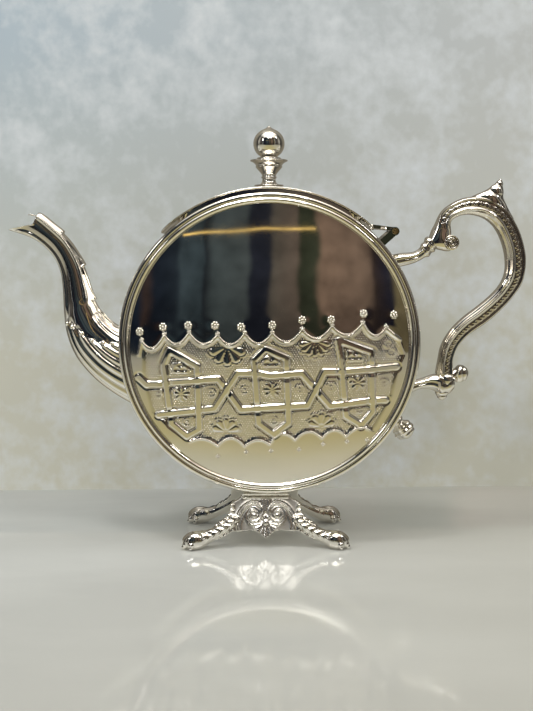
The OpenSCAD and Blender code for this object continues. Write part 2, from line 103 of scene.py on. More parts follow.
def capped_tube(grid, start, end):
    """Points and faces of a tube of round sections, closed by a fan to a point at each end."""
    rows, sides = grid.shape[:2]
    ring = np.arange(sides)
    faces = [grid_quads(rows, sides, False, True), fan_faces(ring[::-1], rows * sides),
             fan_faces(ring + (rows - 1) * sides, rows * sides + 1)]
    return np.vstack([grid.reshape(-1, 3), start, end]), faces


def flat_caps(columns, sections, first_flipped):
    """Quads that close the first and last section of a tube, from one half of each across to the other."""
    k = np.arange(columns // 2 - 1)
    caps = []
    for section, flipped in ((0, first_flipped), (sections - 1, not first_flipped)):
        quad = np.stack([k, k + 1, columns - 2 - k, columns - 1 - k], -1) + section * columns
        caps.append(quad[:, ::-1] if flipped else quad)
    return caps


def even_loop(outline, count):
    """Points at an even pitch round a closed outline."""
    closed = np.vstack([outline, outline[:1]])
    far = np.concatenate([[0], np.cumsum(np.hypot(*np.diff(closed, axis=0).T))])
    t = np.linspace(0, far[-1], count, endpoint=False)
    return np.stack([np.interp(t, far, closed[:, 0]), np.interp(t, far, closed[:, 1])], -1)


def make_mesh(name, points, *faces):
    """A mesh from points in millimetres and arrays of triangles or quads."""
    mesh = bpy.data.meshes.new(name)
    points = np.asarray(points, float) * MM
    mesh.vertices.add(len(points))
    mesh.vertices.foreach_set("co", points.ravel())
    starts, corners, total = [], [], 0
    for group in faces:
        group = np.asarray(group, np.int32)
        if not len(group):
            continue
        starts.append(total + group.shape[1] * np.arange(len(group)))
        corners.append(group.ravel())
        total += group.size
    mesh.loops.add(total)
    mesh.loops.foreach_set("vertex_index", np.concatenate(corners))
    mesh.polygons.add(sum(len(s) for s in starts))
    mesh.polygons.foreach_set("loop_start", np.concatenate(starts))
    mesh.update(calc_edges=True)
    mesh.validate()
    return mesh


def enclosed_volume(mesh):
    """Signed volume, positive when the faces point outwards."""
    mesh.calc_loop_triangles()
    corners = np.empty(len(mesh.loop_triangles) * 3, np.int32)
    mesh.loop_triangles.foreach_get("vertices", corners)
    points = np.empty(len(mesh.vertices) * 3)
    mesh.vertices.foreach_get("co", points)
    a, b, c = points.reshape(-1, 3)[corners].reshape(-1, 3, 3).transpose(1, 0, 2)
    return float(np.einsum("ij,ij->i", a, np.cross(b, c)).sum() / 6)


def finish_piece(mesh, body, material, slot, *nodes, smooth=True):
    """Turns a mesh into a piece of the teapot that rides on a body and stands for CAD nodes."""
    if enclosed_volume(mesh) < 0:
        mesh.flip_normals()
    if smooth:
        mesh.polygons.foreach_set("use_smooth", np.ones(len(mesh.polygons), bool))
    mesh.materials.clear()
    mesh.materials.append(material)
    piece = bpy.data.objects.new(mesh.name, mesh)
    bpy.context.scene.collection.objects.link(piece)
    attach(piece, body)
    if nodes:
        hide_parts(*nodes)
    return piece


def set_attribute(mesh, name, values):
    attribute = mesh.attributes.new(name, "FLOAT", "POINT")
    attribute.data.foreach_set("value", np.asarray(values, np.float32).ravel())


def revolve(profile, steps, closed_profile=False):
    """A solid of revolution about Z. The profile is [radius, height]; it may start or end on the axis."""
    profile = np.asarray(profile, float)
    turn = np.linspace(0, 2 * math.pi, steps, endpoint=False)
    start_pole, end_pole = profile[0, 0] < 1e-6, profile[-1, 0] < 1e-6
    rings = profile[1 if start_pole else 0 : len(profile) - 1 if end_pole else len(profile)]
    points = np.stack([rings[:, None, 0] * np.cos(turn), rings[:, None, 0] * np.sin(turn),
                       np.broadcast_to(rings[:, None, 1], (len(rings), steps))], -1).reshape(-1, 3)
    faces = [grid_quads(len(rings), steps, closed_profile, True)]
    extra = []
    if start_pole:
        extra.append([0, 0, profile[0, 1]])
        faces.append(fan_faces(np.arange(steps)[::-1], len(points)))
    if end_pole:
        extra.append([0, 0, profile[-1, 1]])
        last_ring = np.arange(steps) + (len(rings) - 1) * steps
        faces.append(fan_faces(last_ring, len(points) + len(extra) - 1))
    if extra:
        points = np.vstack([points, extra])
    return points, faces


def arc(centre_r, centre_z, radius, start, end, steps):
    a = np.radians(np.linspace(start, end, steps))
    return np.stack([centre_r + radius * np.cos(a), centre_z + radius * np.sin(a)], -1).tolist()


def smooth_rows(rows, steps):
    """Catmull-Rom curve through rows of numbers."""
    rows = np.asarray(rows, float)
    padded = np.vstack([rows[:1], rows, rows[-1:]])
    t = np.linspace(0, len(rows) - 1, steps)
    i = np.minimum(t.astype(int), len(rows) - 2)
    f = (t - i)[:, None]
    p0, p1, p2, p3 = (padded[i + k] for k in range(4))
    return 0.5 * (2 * p1 + (p2 - p0) * f + (2 * p0 - 5 * p1 + 4 * p2 - p3) * f**2
                  + (3 * p1 - p0 - 3 * p2 + p3) * f**3)


def line_distance(x, z, line, closed=False):
    """Distance from points to a line of [x, z] corners."""
    line = np.asarray(line, float)
    if closed:
        line = np.vstack([line, line[:1]])
    best = np.full(np.shape(x), 1e9)
    for a, b in zip(line[:-1], line[1:]):
        d = b - a
        t = np.clip(((x - a[0]) * d[0] + (z - a[1]) * d[1]) / (d @ d), 0, 1)
        best = np.minimum(best, np.hypot(x - a[0] - t * d[0], z - a[1] - t * d[1]))
    return best


def surface_normals(grid):
    """Unit normals of a grid of points, by its own directions."""
    u = np.gradient(grid, axis=0)
    v = np.gradient(grid, axis=1)
    n = np.cross(u, v)
    return n / np.maximum(np.linalg.norm(n, axis=-1, keepdims=True), 1e-9)


# ---------- sizes and finishes that a user would change ----------


def length(name, description, millimetres):
    return bpy.props.FloatProperty(
        name=name, description=description, default=millimetres * MM, unit="LENGTH")


def tone(name, description, *colour):
    return bpy.props.FloatVectorProperty(
        name=name, description=description, subtype="COLOR", default=colour, min=0, max=1)


def share(name, description, default):
    return bpy.props.FloatProperty(name=name, description=description, default=default, min=0, max=1)


class TeapotBandSettings(bpy.types.PropertyGroup):
    strap_width: length("Strap width", "Width of the interlaced straps, shoulders included", 4.3)
    field_depth: length("Field depth", "How deep the field lies under the straps", 0.9)
    garland_sag: length("Garland sag", "How far the garlands hang between their rosettes", 6.2)
    bead_radius: length("Bead radius", "Radius of the small beads along the garlands", 0.55)
    bead_pitch: length("Bead pitch", "Distance from bead to bead", 1.15)
    dot_pitch: length("Dot pitch", "Distance between the punched dots of the field", 1.5)
    dot_radius: length("Dot radius", "Radius of the punched dots of the field", 0.52)
    rosette_petals: bpy.props.IntProperty(
        name="Rosette petals", description="Petals round the boss of a rosette", default=7, min=4, max=12)


class TeapotSilverSettings(bpy.types.PropertyGroup):
    silver_colour: tone("Silver", "Colour of the polished plate", 0.925, 0.89, 0.82)
    # The recesses darken towards this colour: partly oxide in the hollows, partly painted shade.
    recess_oxide_and_shade_colour: tone("Recesses", "Colour of the silver deep in the chasing", 0.42, 0.38, 0.33)
    sheet_roughness: share("Sheet roughness", "Roughness of the buffed sheet", 0.045)
    cast_roughness: share("Cast roughness", "Roughness of the cast pieces", 0.06)


class TeapotStageSettings(bpy.types.PropertyGroup):
    floor_colour: tone("Floor", "Colour of the stone floor", 0.66, 0.655, 0.605)
    wall_colour: tone("Wall", "Colour of the wall", 0.61, 0.59, 0.49)
    cloth_colour: tone("Near table", "Tone of the near table, as the silver mirrors it", 0.47, 0.41, 0.215)
    wall_distance: length("Wall distance", "From the drum's middle to the wall", 133)
    table_reach: length("Table reach", "How far the table reaches in front of the drum", 800)
    camera_lens: bpy.props.FloatProperty(
        name="Lens", description="Focal length for a 36 mm long side", default=53.16, unit="CAMERA")


SETTINGS = {
    "teapot_band": TeapotBandSettings,
    "teapot_silver": TeapotSilverSettings,
    "teapot_stage": TeapotStageSettings,
}


# ---------- materials ----------


class Shader:
    """Small helper that adds nodes to a new material and links them."""

    def __init__(self, name):
        self.material = bpy.data.materials.new(name)
        self.material.use_nodes = True
        self.tree = self.material.node_tree
        self.surface = self.tree.nodes["Principled BSDF"]
        coordinates = self.tree.nodes.new("ShaderNodeTexCoord")
        self.place = coordinates.outputs["Object"]

    def node(self, kind, *links, **values):
        node = self.tree.nodes.new(kind)
        for key, value in values.items():
            setattr(node, key, value)
        for index, value in links:
            if isinstance(value, bpy.types.NodeSocket):
                self.tree.links.new(value, node.inputs[index])
            else:
                node.inputs[index].default_value = value
        return node

    def noise(self, size, detail=2.0, stretch=None):
        place = self.place
        if stretch:
            place = self.node("ShaderNodeMapping", ("Vector", place), ("Scale", stretch)).outputs[0]
        noise = self.node("ShaderNodeTexNoise", ("Vector", place), ("Scale", 1 / size), ("Detail", detail))
        return noise.outputs[0]

    def attribute(self, name):
        return self.node("ShaderNodeAttribute", attribute_name=name).outputs["Fac"]

    def math(self, operation, *values):
        return self.node("ShaderNodeMath", *enumerate(values), operation=operation).outputs[0]

    def times(self, one, other):
        return self.math("MULTIPLY", one, other)

    def plus(self, one, other):
        return self.math("ADD", one, other)

    def span(self, value, low, high, from_low=0.0, from_high=1.0):
        return self.node("ShaderNodeMapRange", ("Value", value), ("From Min", from_low),
                         ("From Max", from_high), ("To Min", low), ("To Max", high)).outputs[0]

    def blend(self, factor, one, other):
        node = self.node("ShaderNodeMix", data_type="RGBA")
        for index, value in ((0, factor), (6, one), (7, other)):
            if isinstance(value, bpy.types.NodeSocket):
                self.tree.links.new(value, node.inputs[index])
            else:
                node.inputs[index].default_value = value if index == 0 else (*value[:3], 1)
        return node.outputs[2]

    def bump(self, height, strength, distance, normal=None):
        links = [("Height", height), ("Strength", strength), ("Distance", distance)]
        if normal is not None:
            links.append(("Normal", normal))
        return self.node("ShaderNodeBump", *links).outputs[0]

    def link(self, socket, value):
        target = self.surface.inputs[socket]
        if isinstance(value, bpy.types.NodeSocket):
            self.tree.links.new(value, target)
        else:
            target.default_value = value


def polished_sheet(name, chased=False):
    """Buffed silver plate with faint hairlines, finger haze and gentle hammer waves."""
    s = bpy.context.scene.teapot_silver
    shader = Shader(name)
    haze = shader.noise(0.02, 4)
    hairline = shader.noise(0.0006, 3, (1, 1, 0.06))
    shader.link("Metallic", 1.0)
    dull = [c * 0.965 for c in s.silver_colour]
    colour = shader.blend(shader.span(haze, 0, 1, 0.3, 0.7), dull, s.silver_colour)
    rough = shader.span(shader.plus(haze, shader.times(hairline, 0.4)),
                        s.sheet_roughness * 0.6, s.sheet_roughness * 1.8, 0.4, 1.0)
    wave = shader.noise(0.035, 1)
    normal = shader.bump(wave, 0.25, 0.0006)
    normal = shader.bump(hairline, 0.03, 0.00002, normal)
    if chased:
        stipple, recess = shader.attribute("stipple"), shader.attribute("recess")
        matting = shader.noise(0.0007, 2)
        # The stippled ground and the recesses darken towards the recess colour: partly oxide in the hollows,
        # partly painted shade.
        dark = shader.plus(shader.times(stipple, 0.12), shader.times(recess, 0.25))
        colour = shader.blend(dark, colour, s.recess_oxide_and_shade_colour)
        rough = shader.plus(rough, shader.times(stipple, 0.06))
        normal = shader.bump(shader.times(matting, stipple), 0.25, 0.00008, normal)
    shader.link("Base Color", colour)
    shader.link("Roughness", rough)
    shader.link("Normal", normal)
    return shader.material


def cast_silver(name):
    """Cast silver plate: softer gloss, fine skin, and darker where the relief is deep, partly from oxide and
    partly from painted shade.
    """
    s = bpy.context.scene.teapot_silver
    shader = Shader(name)
    skin = shader.noise(0.0016, 4)
    haze = shader.noise(0.012, 3)
    recess, stipple = shader.attribute("recess"), shader.attribute("stipple")
    shader.link("Metallic", 1.0)
    bright = shader.blend(haze, [c * 0.94 for c in s.silver_colour], s.silver_colour)
    # The recesses darken towards the recess colour: partly oxide in the hollows, partly painted shade.
    shader.link("Base Color", shader.blend(shader.times(recess, 0.85), bright, s.recess_oxide_and_shade_colour))
    rough = shader.span(shader.plus(skin, haze), s.cast_roughness * 0.6, s.cast_roughness * 1.5, 0.7, 1.3)
    rough = shader.plus(rough, shader.times(recess, 0.10))
    shader.link("Roughness", shader.plus(rough, shader.times(stipple, 0.28)))
    grain = shader.noise(0.0009, 2)
    pocked = shader.times(grain, shader.span(recess, 0.12, 1))
    shader.link("Normal", shader.bump(pocked, 0.22, 0.0001, shader.bump(skin, 0.04, 0.0001)))
    return shader.material


def turned_silver(name):
    """Silver with the fine rings that the lathe leaves about the upright axis."""
    s = bpy.context.scene.teapot_silver
    shader = Shader(name)
    rings = shader.noise(0.0007, 2, (0.03, 0.03, 1))
    haze = shader.noise(0.008, 3)
    shader.link("Metallic", 1.0)
    shader.link("Base Color", shader.blend(haze, [c * 0.95 for c in s.silver_colour], s.silver_colour))
    shader.link("Roughness", shader.span(haze, s.sheet_roughness * 0.8, s.sheet_roughness * 2.2, 0.3, 0.7))
    shader.link("Normal", shader.bump(rings, 0.05, 0.0001))
    return shader.material


def plain_brass(name):
    """Bare brass with light brushing and dull patches, inside the lid and in the hinge."""
    shader = Shader(name)
    patches = shader.noise(0.003, 4)
    brushing = shader.noise(0.0005, 2, (1, 0.1, 1))
    shader.link("Metallic", 1.0)
    clean, dull = (0.80, 0.63, 0.33), (0.58, 0.43, 0.20)
    shader.link("Base Color", shader.blend(shader.span(patches, 0, 1, 0.35, 0.7), clean, dull))
    shader.link("Roughness", shader.span(patches, 0.18, 0.38, 0.3, 0.7))
    shader.link("Normal", shader.bump(brushing, 0.1, 0.0001))
    return shader.material


MATERIALS = {
    "polished_sheet": lambda: polished_sheet("look_polished_sheet"),
    "chased_sheet": lambda: polished_sheet("look_chased_sheet", True),
    "cast_silver": lambda: cast_silver("look_cast_silver"),
    "turned_silver": lambda: turned_silver("look_turned_silver"),
    "plain_brass": lambda: plain_brass("look_plain_brass"),
}


def material(name):
    """The look of that name, made once; the CAD pieces have plain materials under the bare names."""
    return bpy.data.materials.get("look_" + name) or MATERIALS[name]()


# ---------- repeated ornament, by Geometry Nodes ----------


def node_tree(name, *inputs):
    tree = bpy.data.node_groups.new(name, "GeometryNodeTree")
    tree.interface.new_socket("Geometry", in_out="INPUT", socket_type="NodeSocketGeometry")
    for label, kind, default in inputs:
        socket = tree.interface.new_socket(label, in_out="INPUT", socket_type="NodeSocket" + kind)
        if default is not None:
            socket.default_value = default
    tree.interface.new_socket("Geometry", in_out="OUTPUT", socket_type="NodeSocketGeometry")
    return tree, tree.nodes.new("NodeGroupInput"), tree.nodes.new("NodeGroupOutput")


def finish_tree(tree, source, entry, leave):
    add, link = tree.nodes.new, tree.links.new
    realize = add("GeometryNodeRealizeInstances")
    shade = add("GeometryNodeSetShadeSmooth")
    paint = add("GeometryNodeSetMaterial")
    link(source, realize.inputs[0])
    link(realize.outputs[0], shade.inputs[0])
    link(shade.outputs[0], paint.inputs["Geometry"])
    link(entry.outputs["Finish"], paint.inputs["Material"])
    link(paint.outputs[0], leave.inputs[0])


def bead_line_tree():
    """Beads at an even pitch along lines."""
    tree, entry, leave = node_tree("bead_line", ("Pitch", "Float", 0.001), ("Bead radius", "Float", 0.0005),
                                   ("Finish", "Material", None))
    add, link = tree.nodes.new, tree.links.new
    curve = add("GeometryNodeMeshToCurve")
    spread = add("GeometryNodeResampleCurve")
    spread.mode = "LENGTH"
    bead = add("GeometryNodeMeshUVSphere")
    bead.inputs["Segments"].default_value = 8
    bead.inputs["Rings"].default_value = 5
    put = add("GeometryNodeInstanceOnPoints")
    link(entry.outputs["Geometry"], curve.inputs[0])
    link(curve.outputs[0], spread.inputs["Curve"])
    link(entry.outputs["Pitch"], spread.inputs["Length"])
    link(entry.outputs["Bead radius"], bead.inputs["Radius"])
    link(spread.outputs[0], put.inputs["Points"])
    link(bead.outputs["Mesh"], put.inputs["Instance"])
    finish_tree(tree, put.outputs[0], entry, leave)
    return tree


def dot_tree():
    """A round dot at every point."""
    tree, entry, leave = node_tree("ground_dots", ("Dot radius", "Float", 0.0004),
                                   ("Finish", "Material", None))
    add, link = tree.nodes.new, tree.links.new
    dot = add("GeometryNodeMeshIcoSphere")
    put = add("GeometryNodeInstanceOnPoints")
    link(entry.outputs["Dot radius"], dot.inputs["Radius"])
    link(entry.outputs["Geometry"], put.inputs["Points"])
    link(dot.outputs["Mesh"], put.inputs["Instance"])
    finish_tree(tree, put.outputs[0], entry, leave)
    return tree


def rosette_tree():
    """A boss in a ring of round petals at every point, turned to the point's own facing."""
    tree, entry, leave = node_tree("rosettes", ("Petals", "Int", 7), ("Ring radius", "Float", 0.0018),
                                   ("Petal radius", "Float", 0.0008), ("Boss radius", "Float", 0.001),
                                   ("Finish", "Material", None))
    add, link = tree.nodes.new, tree.links.new
    ring = add("GeometryNodeMeshCircle")
    petal, boss = (add("GeometryNodeMeshUVSphere") for _ in range(2))
    for ball in (petal, boss):
        ball.inputs["Segments"].default_value = 10
        ball.inputs["Rings"].default_value = 6
    round_it = add("GeometryNodeInstanceOnPoints")
    together = add("GeometryNodeJoinGeometry")
    facing = add("GeometryNodeInputNamedAttribute")
    facing.data_type = "FLOAT_VECTOR"
    facing.inputs["Name"].default_value = "facing"
    align = add("FunctionNodeAlignRotationToVector")
    align.axis = "Z"
    put = add("GeometryNodeInstanceOnPoints")
    link(entry.outputs["Petals"], ring.inputs["Vertices"])
    link(entry.outputs["Ring radius"], ring.inputs["Radius"])
    link(entry.outputs["Petal radius"], petal.inputs["Radius"])
    link(entry.outputs["Boss radius"], boss.inputs["Radius"])
    link(ring.outputs[0], round_it.inputs["Points"])
    link(petal.outputs["Mesh"], round_it.inputs["Instance"])
    link(round_it.outputs[0], together.inputs[0])
    link(boss.outputs["Mesh"], together.inputs[0])
    one = add("GeometryNodeGeometryToInstance")
    link(together.outputs[0], one.inputs[0])
    link(entry.outputs["Geometry"], put.inputs["Points"])
    link(one.outputs[0], put.inputs["Instance"])
    link(facing.outputs["Attribute"], align.inputs["Vector"])
    link(align.outputs[0], put.inputs["Rotation"])
    finish_tree(tree, put.outputs[0], entry, leave)
    return tree


def grow(name, points, edges, build_tree, finish, sizes, facing=None):
    """A piece of the pot that a node tree makes from points (millimetres) and edges."""
    seed = bpy.data.meshes.new(name + "_line")
    seed.from_pydata((np.asarray(points, float) * MM).tolist(), edges, [])
    if facing is not None:
        attribute = seed.attributes.new("facing", "FLOAT_VECTOR", "POINT")
        attribute.data.foreach_set("vector", np.asarray(facing, np.float32).ravel())
    carrier = bpy.data.objects.new(name + "_line", seed)
    bpy.context.scene.collection.objects.link(carrier)
    tree = build_tree()
    modifier = carrier.modifiers.new("grow", "NODES")
    modifier.node_group = tree
    values = {"Finish": material(finish), **sizes}
    for item in tree.interface.items_tree:
        if item.in_out == "INPUT" and item.name in values:
            modifier[item.identifier] = values[item.name]
    bpy.context.view_layer.update()
    grown = carrier.evaluated_get(bpy.context.evaluated_depsgraph_get())
    mesh = bpy.data.meshes.new_from_object(grown)
    mesh.name = name
    carrier.modifiers.remove(modifier)
    bpy.data.objects.remove(carrier)
    bpy.data.meshes.remove(seed)
    if not len(mesh.polygons):
        raise RuntimeError(name + ": the node tree made nothing")
    return finish_piece(mesh, "pot", material(finish), finish)


def rosette_sizes(petals, ring, petal, boss):
    """What the rosette tree asks for, from radii in millimetres."""
    return {"Petals": petals, "Ring radius": ring * MM, "Petal radius": petal * MM, "Boss radius": boss * MM}


# ---------- stamped discs ----------

DOME_RISE = 10.35
DOME_SPHERE_R = (DOME_R**2 + DOME_RISE**2) / (2 * DOME_RISE)

# The chased work was drawn over the camera's picture, 533 x 711 pixels. seen_at() puts a pixel on the dome.
VIEW_FOCUS = 1050.0
VIEW_CENTRE = (266.5, 355.5)
VIEW_PLACE = np.array([-12.8, -647.9, 176.0])
VIEW_TILT, VIEW_TURN = math.radians(5.5), math.radians(1.0)
# The dome as it was when its work was drawn: radius, face, rise and the height of its middle, in millimetres.
DRAWN_R, DRAWN_FACE, DRAWN_RISE, DRAWN_MIDDLE = 83.3, 26.8, 11.0, 122.5
DISC_PIXEL = (270, 343.7)
# Millimetres on the disc for each pixel: for the first guess, and for each of the steps that mend it.
GUESS_SCALE, STEP_SCALE, STEPS = 0.587, 0.585, 12
# Two parts of the picture were drawn on at a larger scale.
ZOOM = 6.857
LEFT_CORNER, RIGHT_CORNER = (125, 300), (265, 300)


def pixel_of(x, z):
    """The pixel at which the camera sees a point of the drawn dome."""
    sphere = (DRAWN_R**2 + DRAWN_RISE**2) / (2 * DRAWN_RISE)
    depth = DRAWN_FACE + DRAWN_RISE - sphere + math.sqrt(max(sphere**2 - x**2 - z**2, 0))
    across, forward, up = np.array([x, -depth, z + DRAWN_MIDDLE]) - VIEW_PLACE
    turn, tilt = (math.cos(VIEW_TURN), math.sin(VIEW_TURN)), (math.cos(VIEW_TILT), math.sin(VIEW_TILT))
    across, forward = across * turn[0] - forward * turn[1], across * turn[1] + forward * turn[0]
    forward, up = forward * tilt[0] - up * tilt[1], forward * tilt[1] + up * tilt[0]
    return VIEW_CENTRE[0] + VIEW_FOCUS * across / forward, VIEW_CENTRE[1] - VIEW_FOCUS * up / forward


def seen_at(*pixels, corner=(0, 0), zoom=1.0):
    """Places on the disc, as [x, z] to a tenth of a millimetre, that the camera sees at these pixels."""
    places = []
    for px, py in pixels:
        px, py = corner[0] + px / zoom, corner[1] + py / zoom
        x, z = (px - DISC_PIXEL[0]) * GUESS_SCALE, (DISC_PIXEL[1] - py) * GUESS_SCALE
        for _ in range(STEPS):
            u, v = pixel_of(x, z)
            x, z = x + (px - u) * STEP_SCALE, z - (py - v) * STEP_SCALE
        places.append((round(float(x), 1), round(float(z), 1)))
    return places


def left(*pixels):
    return seen_at(*pixels, corner=LEFT_CORNER, zoom=ZOOM)


def right(*pixels):
    return seen_at(*pixels, corner=RIGHT_CORNER, zoom=ZOOM)


# Places that stand in plain brackets are [x, z] in millimetres from the middle of the disc.
PANELS = [
    left((262, 440), (300, 345), (492, 455), (508, 890), (425, 935), (318, 850)) + [(-59.7, -38.9)],
    left((885, 415)) + [(-2.8, -1.5)] + right((148, 400), (162, 845), (60, 925)) + [(-6.6, -46.2)]
    + left((908, 740)),
    right((525, 390), (505, 275)) + [(60.3, -3.9)] + right((742, 765), (662, 862), (562, 800), (553, 735)),
]
STRAPS = [
    left((95, 530), (150, 580), (262, 580), (310, 568), (640, 545), (795, 755)) + [(0, -36.6)]
    + right((160, 735)) + [(22, -35.5)] + right((410, 495), (530, 495), (720, 478), (900, 458)),
    left((232, 788), (460, 765)) + [(-33, -37.3)] + left((768, 505), (900, 505)) + [(0, -17.6)]
    + right((255, 505), (450, 730), (720, 695), (825, 688)),
]
# The level between the upper and the lower strap: it decides which band lies on top where two cross.
BETWEEN_STRAPS = -28
ROSETTES = seen_at(
    (139.8, 331.6), (162.9, 327.1), (188.2, 325.7), (214.9, 325.7), (241, 327.1), (272.2, 325.3),
    (302.3, 320.2), (331.2, 319.8), (363.6, 313.8), (393.8, 314.8))
GARLAND_CUSPS = (left((115, 290), (270, 250), (440, 235), (635, 250), (820, 240)) + [(1.2, 6.8)]
                 + right((255, 215), (460, 190), (670, 170), (830, 200)))
ARCH_PEAKS = seen_at((204, 439), (231, 438), (258, 440), (281, 434), (309, 431.5), (335, 430), (357, 428))
LOW_ROSETTES = seen_at(
    (218, 456.5), (246, 452), (271, 451), (299, 449.5), (323, 444), (347, 441.5), (367, 440))
LEFT_EDGE = [(-75, -2), (-75, -20), (-70, -40), (-60, -50), (-48, -58)]
RIGHT_EDGE = [(77, 3), (79.5, -6), (77, -13), (73, -30), (67, -42), (63, -50)]
TREFOILS = left((378, 468)) + right((42, 425), (620, 385))
STARS = left((385, 645)) + right((50, 620), (640, 570))
BUDS = (left((225, 640), (590, 640), (820, 620), (425, 840))
        + right((240, 610), (455, 595), (820, 570), (60, 830), (650, 750)))
# Each fan: its root, its radius, how many blades it has, and 1 when it opens upwards or -1 when it hangs.
FANS = [(*left((700, 325))[0], 11, 5, -1), (*right((345, 285))[0], 9.5, 7, -1),
        (-26.3, -51.5, 8.5, 5, 1), (30.7, -48.5, 8.5, 5, 1)]
RING_MOTIF = right((865, 330))[0]
# Round pits of a trefoil and rings of the last motif, from its middle.
TREFOIL_PITS = ((0, 1.7), (-1.9, -0.9), (1.9, -0.9))
MOTIF_RINGS = ((-1.6, 2.4), (0.6, -2.6))
# The straps' flat tops over the dome, and the cut line beside them.
STRAP_LIFT, STRAP_SHOULDER, MOAT_DEPTH = 0.12, 0.7, 0.45


def bowed_line(cusps, bows):
    """Curves between neighbouring points; each bow says how far its middle stands above the straight line."""
    line = []
    for (ax, az), (bx, bz), bow in zip(cusps[:-1], cusps[1:], bows):
        for u in np.linspace(0, 1, 14, endpoint=False):
            line.append((ax + (bx - ax) * u, az + (bz - az) * u + bow * 4 * u * (1 - u)))
    return line + [cusps[-1]]


def garland_line():
    sag = bpy.context.scene.teapot_band.garland_sag / MM
    hanging = bowed_line(GARLAND_CUSPS, [-sag] * (len(GARLAND_CUSPS) - 1))
    return [(-77.5, -6)] + hanging + [(73.5, 5.5), (77, 3)]


def arch_line():
    between = [((a[0] + b[0]) / 2, (a[1] + b[1]) / 2 - 4.5) for a, b in zip(ARCH_PEAKS[:-1], ARCH_PEAKS[1:])]
    cusps = [(-48, -58)] + between + [(61, -52)]
    bows = [peak[1] - (a[1] + b[1]) / 2 for a, b, peak in zip(cusps[:-1], cusps[1:], ARCH_PEAKS)]
    return bowed_line(cusps, bows)


def crossings(one, other, closed):
    """Points where two straps cross."""
    found = []
    b = list(other) + ([other[0]] if closed else [])
    for p, p2 in zip(one[:-1], one[1:]):
        for q, q2 in zip(b[:-1], b[1:]):
            d, e = np.subtract(p2, p), np.subtract(q2, q)
            det = d[0] * e[1] - d[1] * e[0]
            if abs(det) < 1e-9:
                continue
            w = np.subtract(q, p)
            t, u = (w[0] * e[1] - w[1] * e[0]) / det, (w[0] * d[1] - w[1] * d[0]) / det
            if 0 <= t <= 1 and 0 <= u <= 1:
                found.append(np.add(p, d * t))
    return found


def signed_distance(x, z, line, above):
    """Distance to a line that runs from left to right, positive on one side of it."""
    distance = line_distance(x, z, line)
    level = np.interp(x, *np.array(line).T)
    return np.where(z > level if above else z < level, distance, -distance)


def small_work(x, z):
    """Height of the fans, stars and other small work that stands up in the field, and where it is plain."""
    small, plain = np.zeros_like(x), np.zeros_like(x)
    for cx, cz, r, count, way in FANS:
        rho, a = np.hypot(x - cx, z - cz), np.arctan2(way * (z - cz), x - cx) / math.pi
        part = np.abs((a * count) % 1 - 0.5) * 2
        end = r * (1 - 0.22 * part**2)
        inside = (a > 0) * smoothstep(0, 0.7, end - rho) * smoothstep(0.8, 2.2, rho)
        small = np.maximum(small, inside * (1 - part**4) * (0.35 + 0.5 * rho / r))
        plain = np.maximum(plain, (a > 0) * smoothstep(0, 1, r + 0.5 - rho))
        small = np.maximum(small, 0.5 * (a > 0) * hump(rho - end, 1.1, 0.5))
    for cx, cz in STARS:
        rho, ray = np.hypot(x - cx, z - cz), np.abs(np.cos(4 * np.arctan2(z - cz, x - cx)))
        inside = smoothstep(0, 0.8, 2.2 + 3.0 * ray**1.5 - rho)
        small = np.maximum(small, 0.75 * inside * (0.4 + 0.6 * ray))
        plain = np.maximum(plain, inside)
    for cx, cz in TREFOILS:
        ground = smoothstep(0, 1, 5.2 - np.abs(x - cx)) * smoothstep(0, 1, 3.6 - np.abs(z - cz))
        pits = np.zeros_like(x)
        for ox, oz in TREFOIL_PITS:
            pits = np.maximum(pits, smoothstep(1.5, 0.9, np.hypot(x - cx - ox, z - cz - oz)))
        small = np.maximum(small, ground * 0.75) - 1.3 * pits
        plain = np.maximum(plain, ground)
    for k, (cx, cz) in enumerate(BUDS):
        rho, a = np.hypot(x - cx, z - cz), np.arctan2(z - cz, x - cx) + k
        small = np.maximum(small, 0.6 * hump(rho, 2.3, 0.55) * (0.6 + 0.4 * np.cos(a)))
        small = np.maximum(small, 0.6 * smoothstep(1.1, 0.3, rho))
    for ox, oz in MOTIF_RINGS:
        rho = np.hypot(x - RING_MOTIF[0] - ox, z - RING_MOTIF[1] - oz)
        small = np.maximum(small, 0.7 * hump(rho, 2.2, 0.6) + 0.5 * smoothstep(1, 0.2, rho))
    return small, plain


def weave(x, z, height, half):
    """Cuts the lower of two bands where they cross; also gives the distance to the nearest band."""
    over = [line_distance(x, z, line) for line in STRAPS]
    panel = [line_distance(x, z, line, True) for line in PANELS]
    nearest = np.minimum(np.min(over, 0), np.min(panel, 0))
    strap = smoothstep(half, half - STRAP_SHOULDER, nearest)
    moat = hump(nearest - half, 0.4, 0.5)
    height = height * (1 - strap) + STRAP_LIFT * strap - MOAT_DEPTH * moat

    def pass_over(centre, winner):
        """The upper band's edge cuts across the lower band, which dips beneath it."""
        near = smoothstep(half + 3.4, half + 1.6, np.hypot(x - centre[0], z - centre[1]))
        cut = 0.8 * hump(winner - half, 0.15, 0.42)
        dip = 0.4 * smoothstep(half + 2.6, half + 0.3, winner) * smoothstep(half - 0.3, half, winner)
        return near * np.maximum(cut, dip)

    for i, line in enumerate(STRAPS):
        for j, shape in enumerate(PANELS):
            middle = np.mean([p[0] for p in shape])
            for c in crossings(line, shape, True):
                panel_wins = (c[0] < middle) == (c[1] > BETWEEN_STRAPS)
                height = height - pass_over(c, panel[j] if panel_wins else over[i])
    for c in crossings(STRAPS[0], STRAPS[1], False):
        height = height - pass_over(c, over[1] if c[0] < 0 else over[0])
    return height, nearest, strap, moat


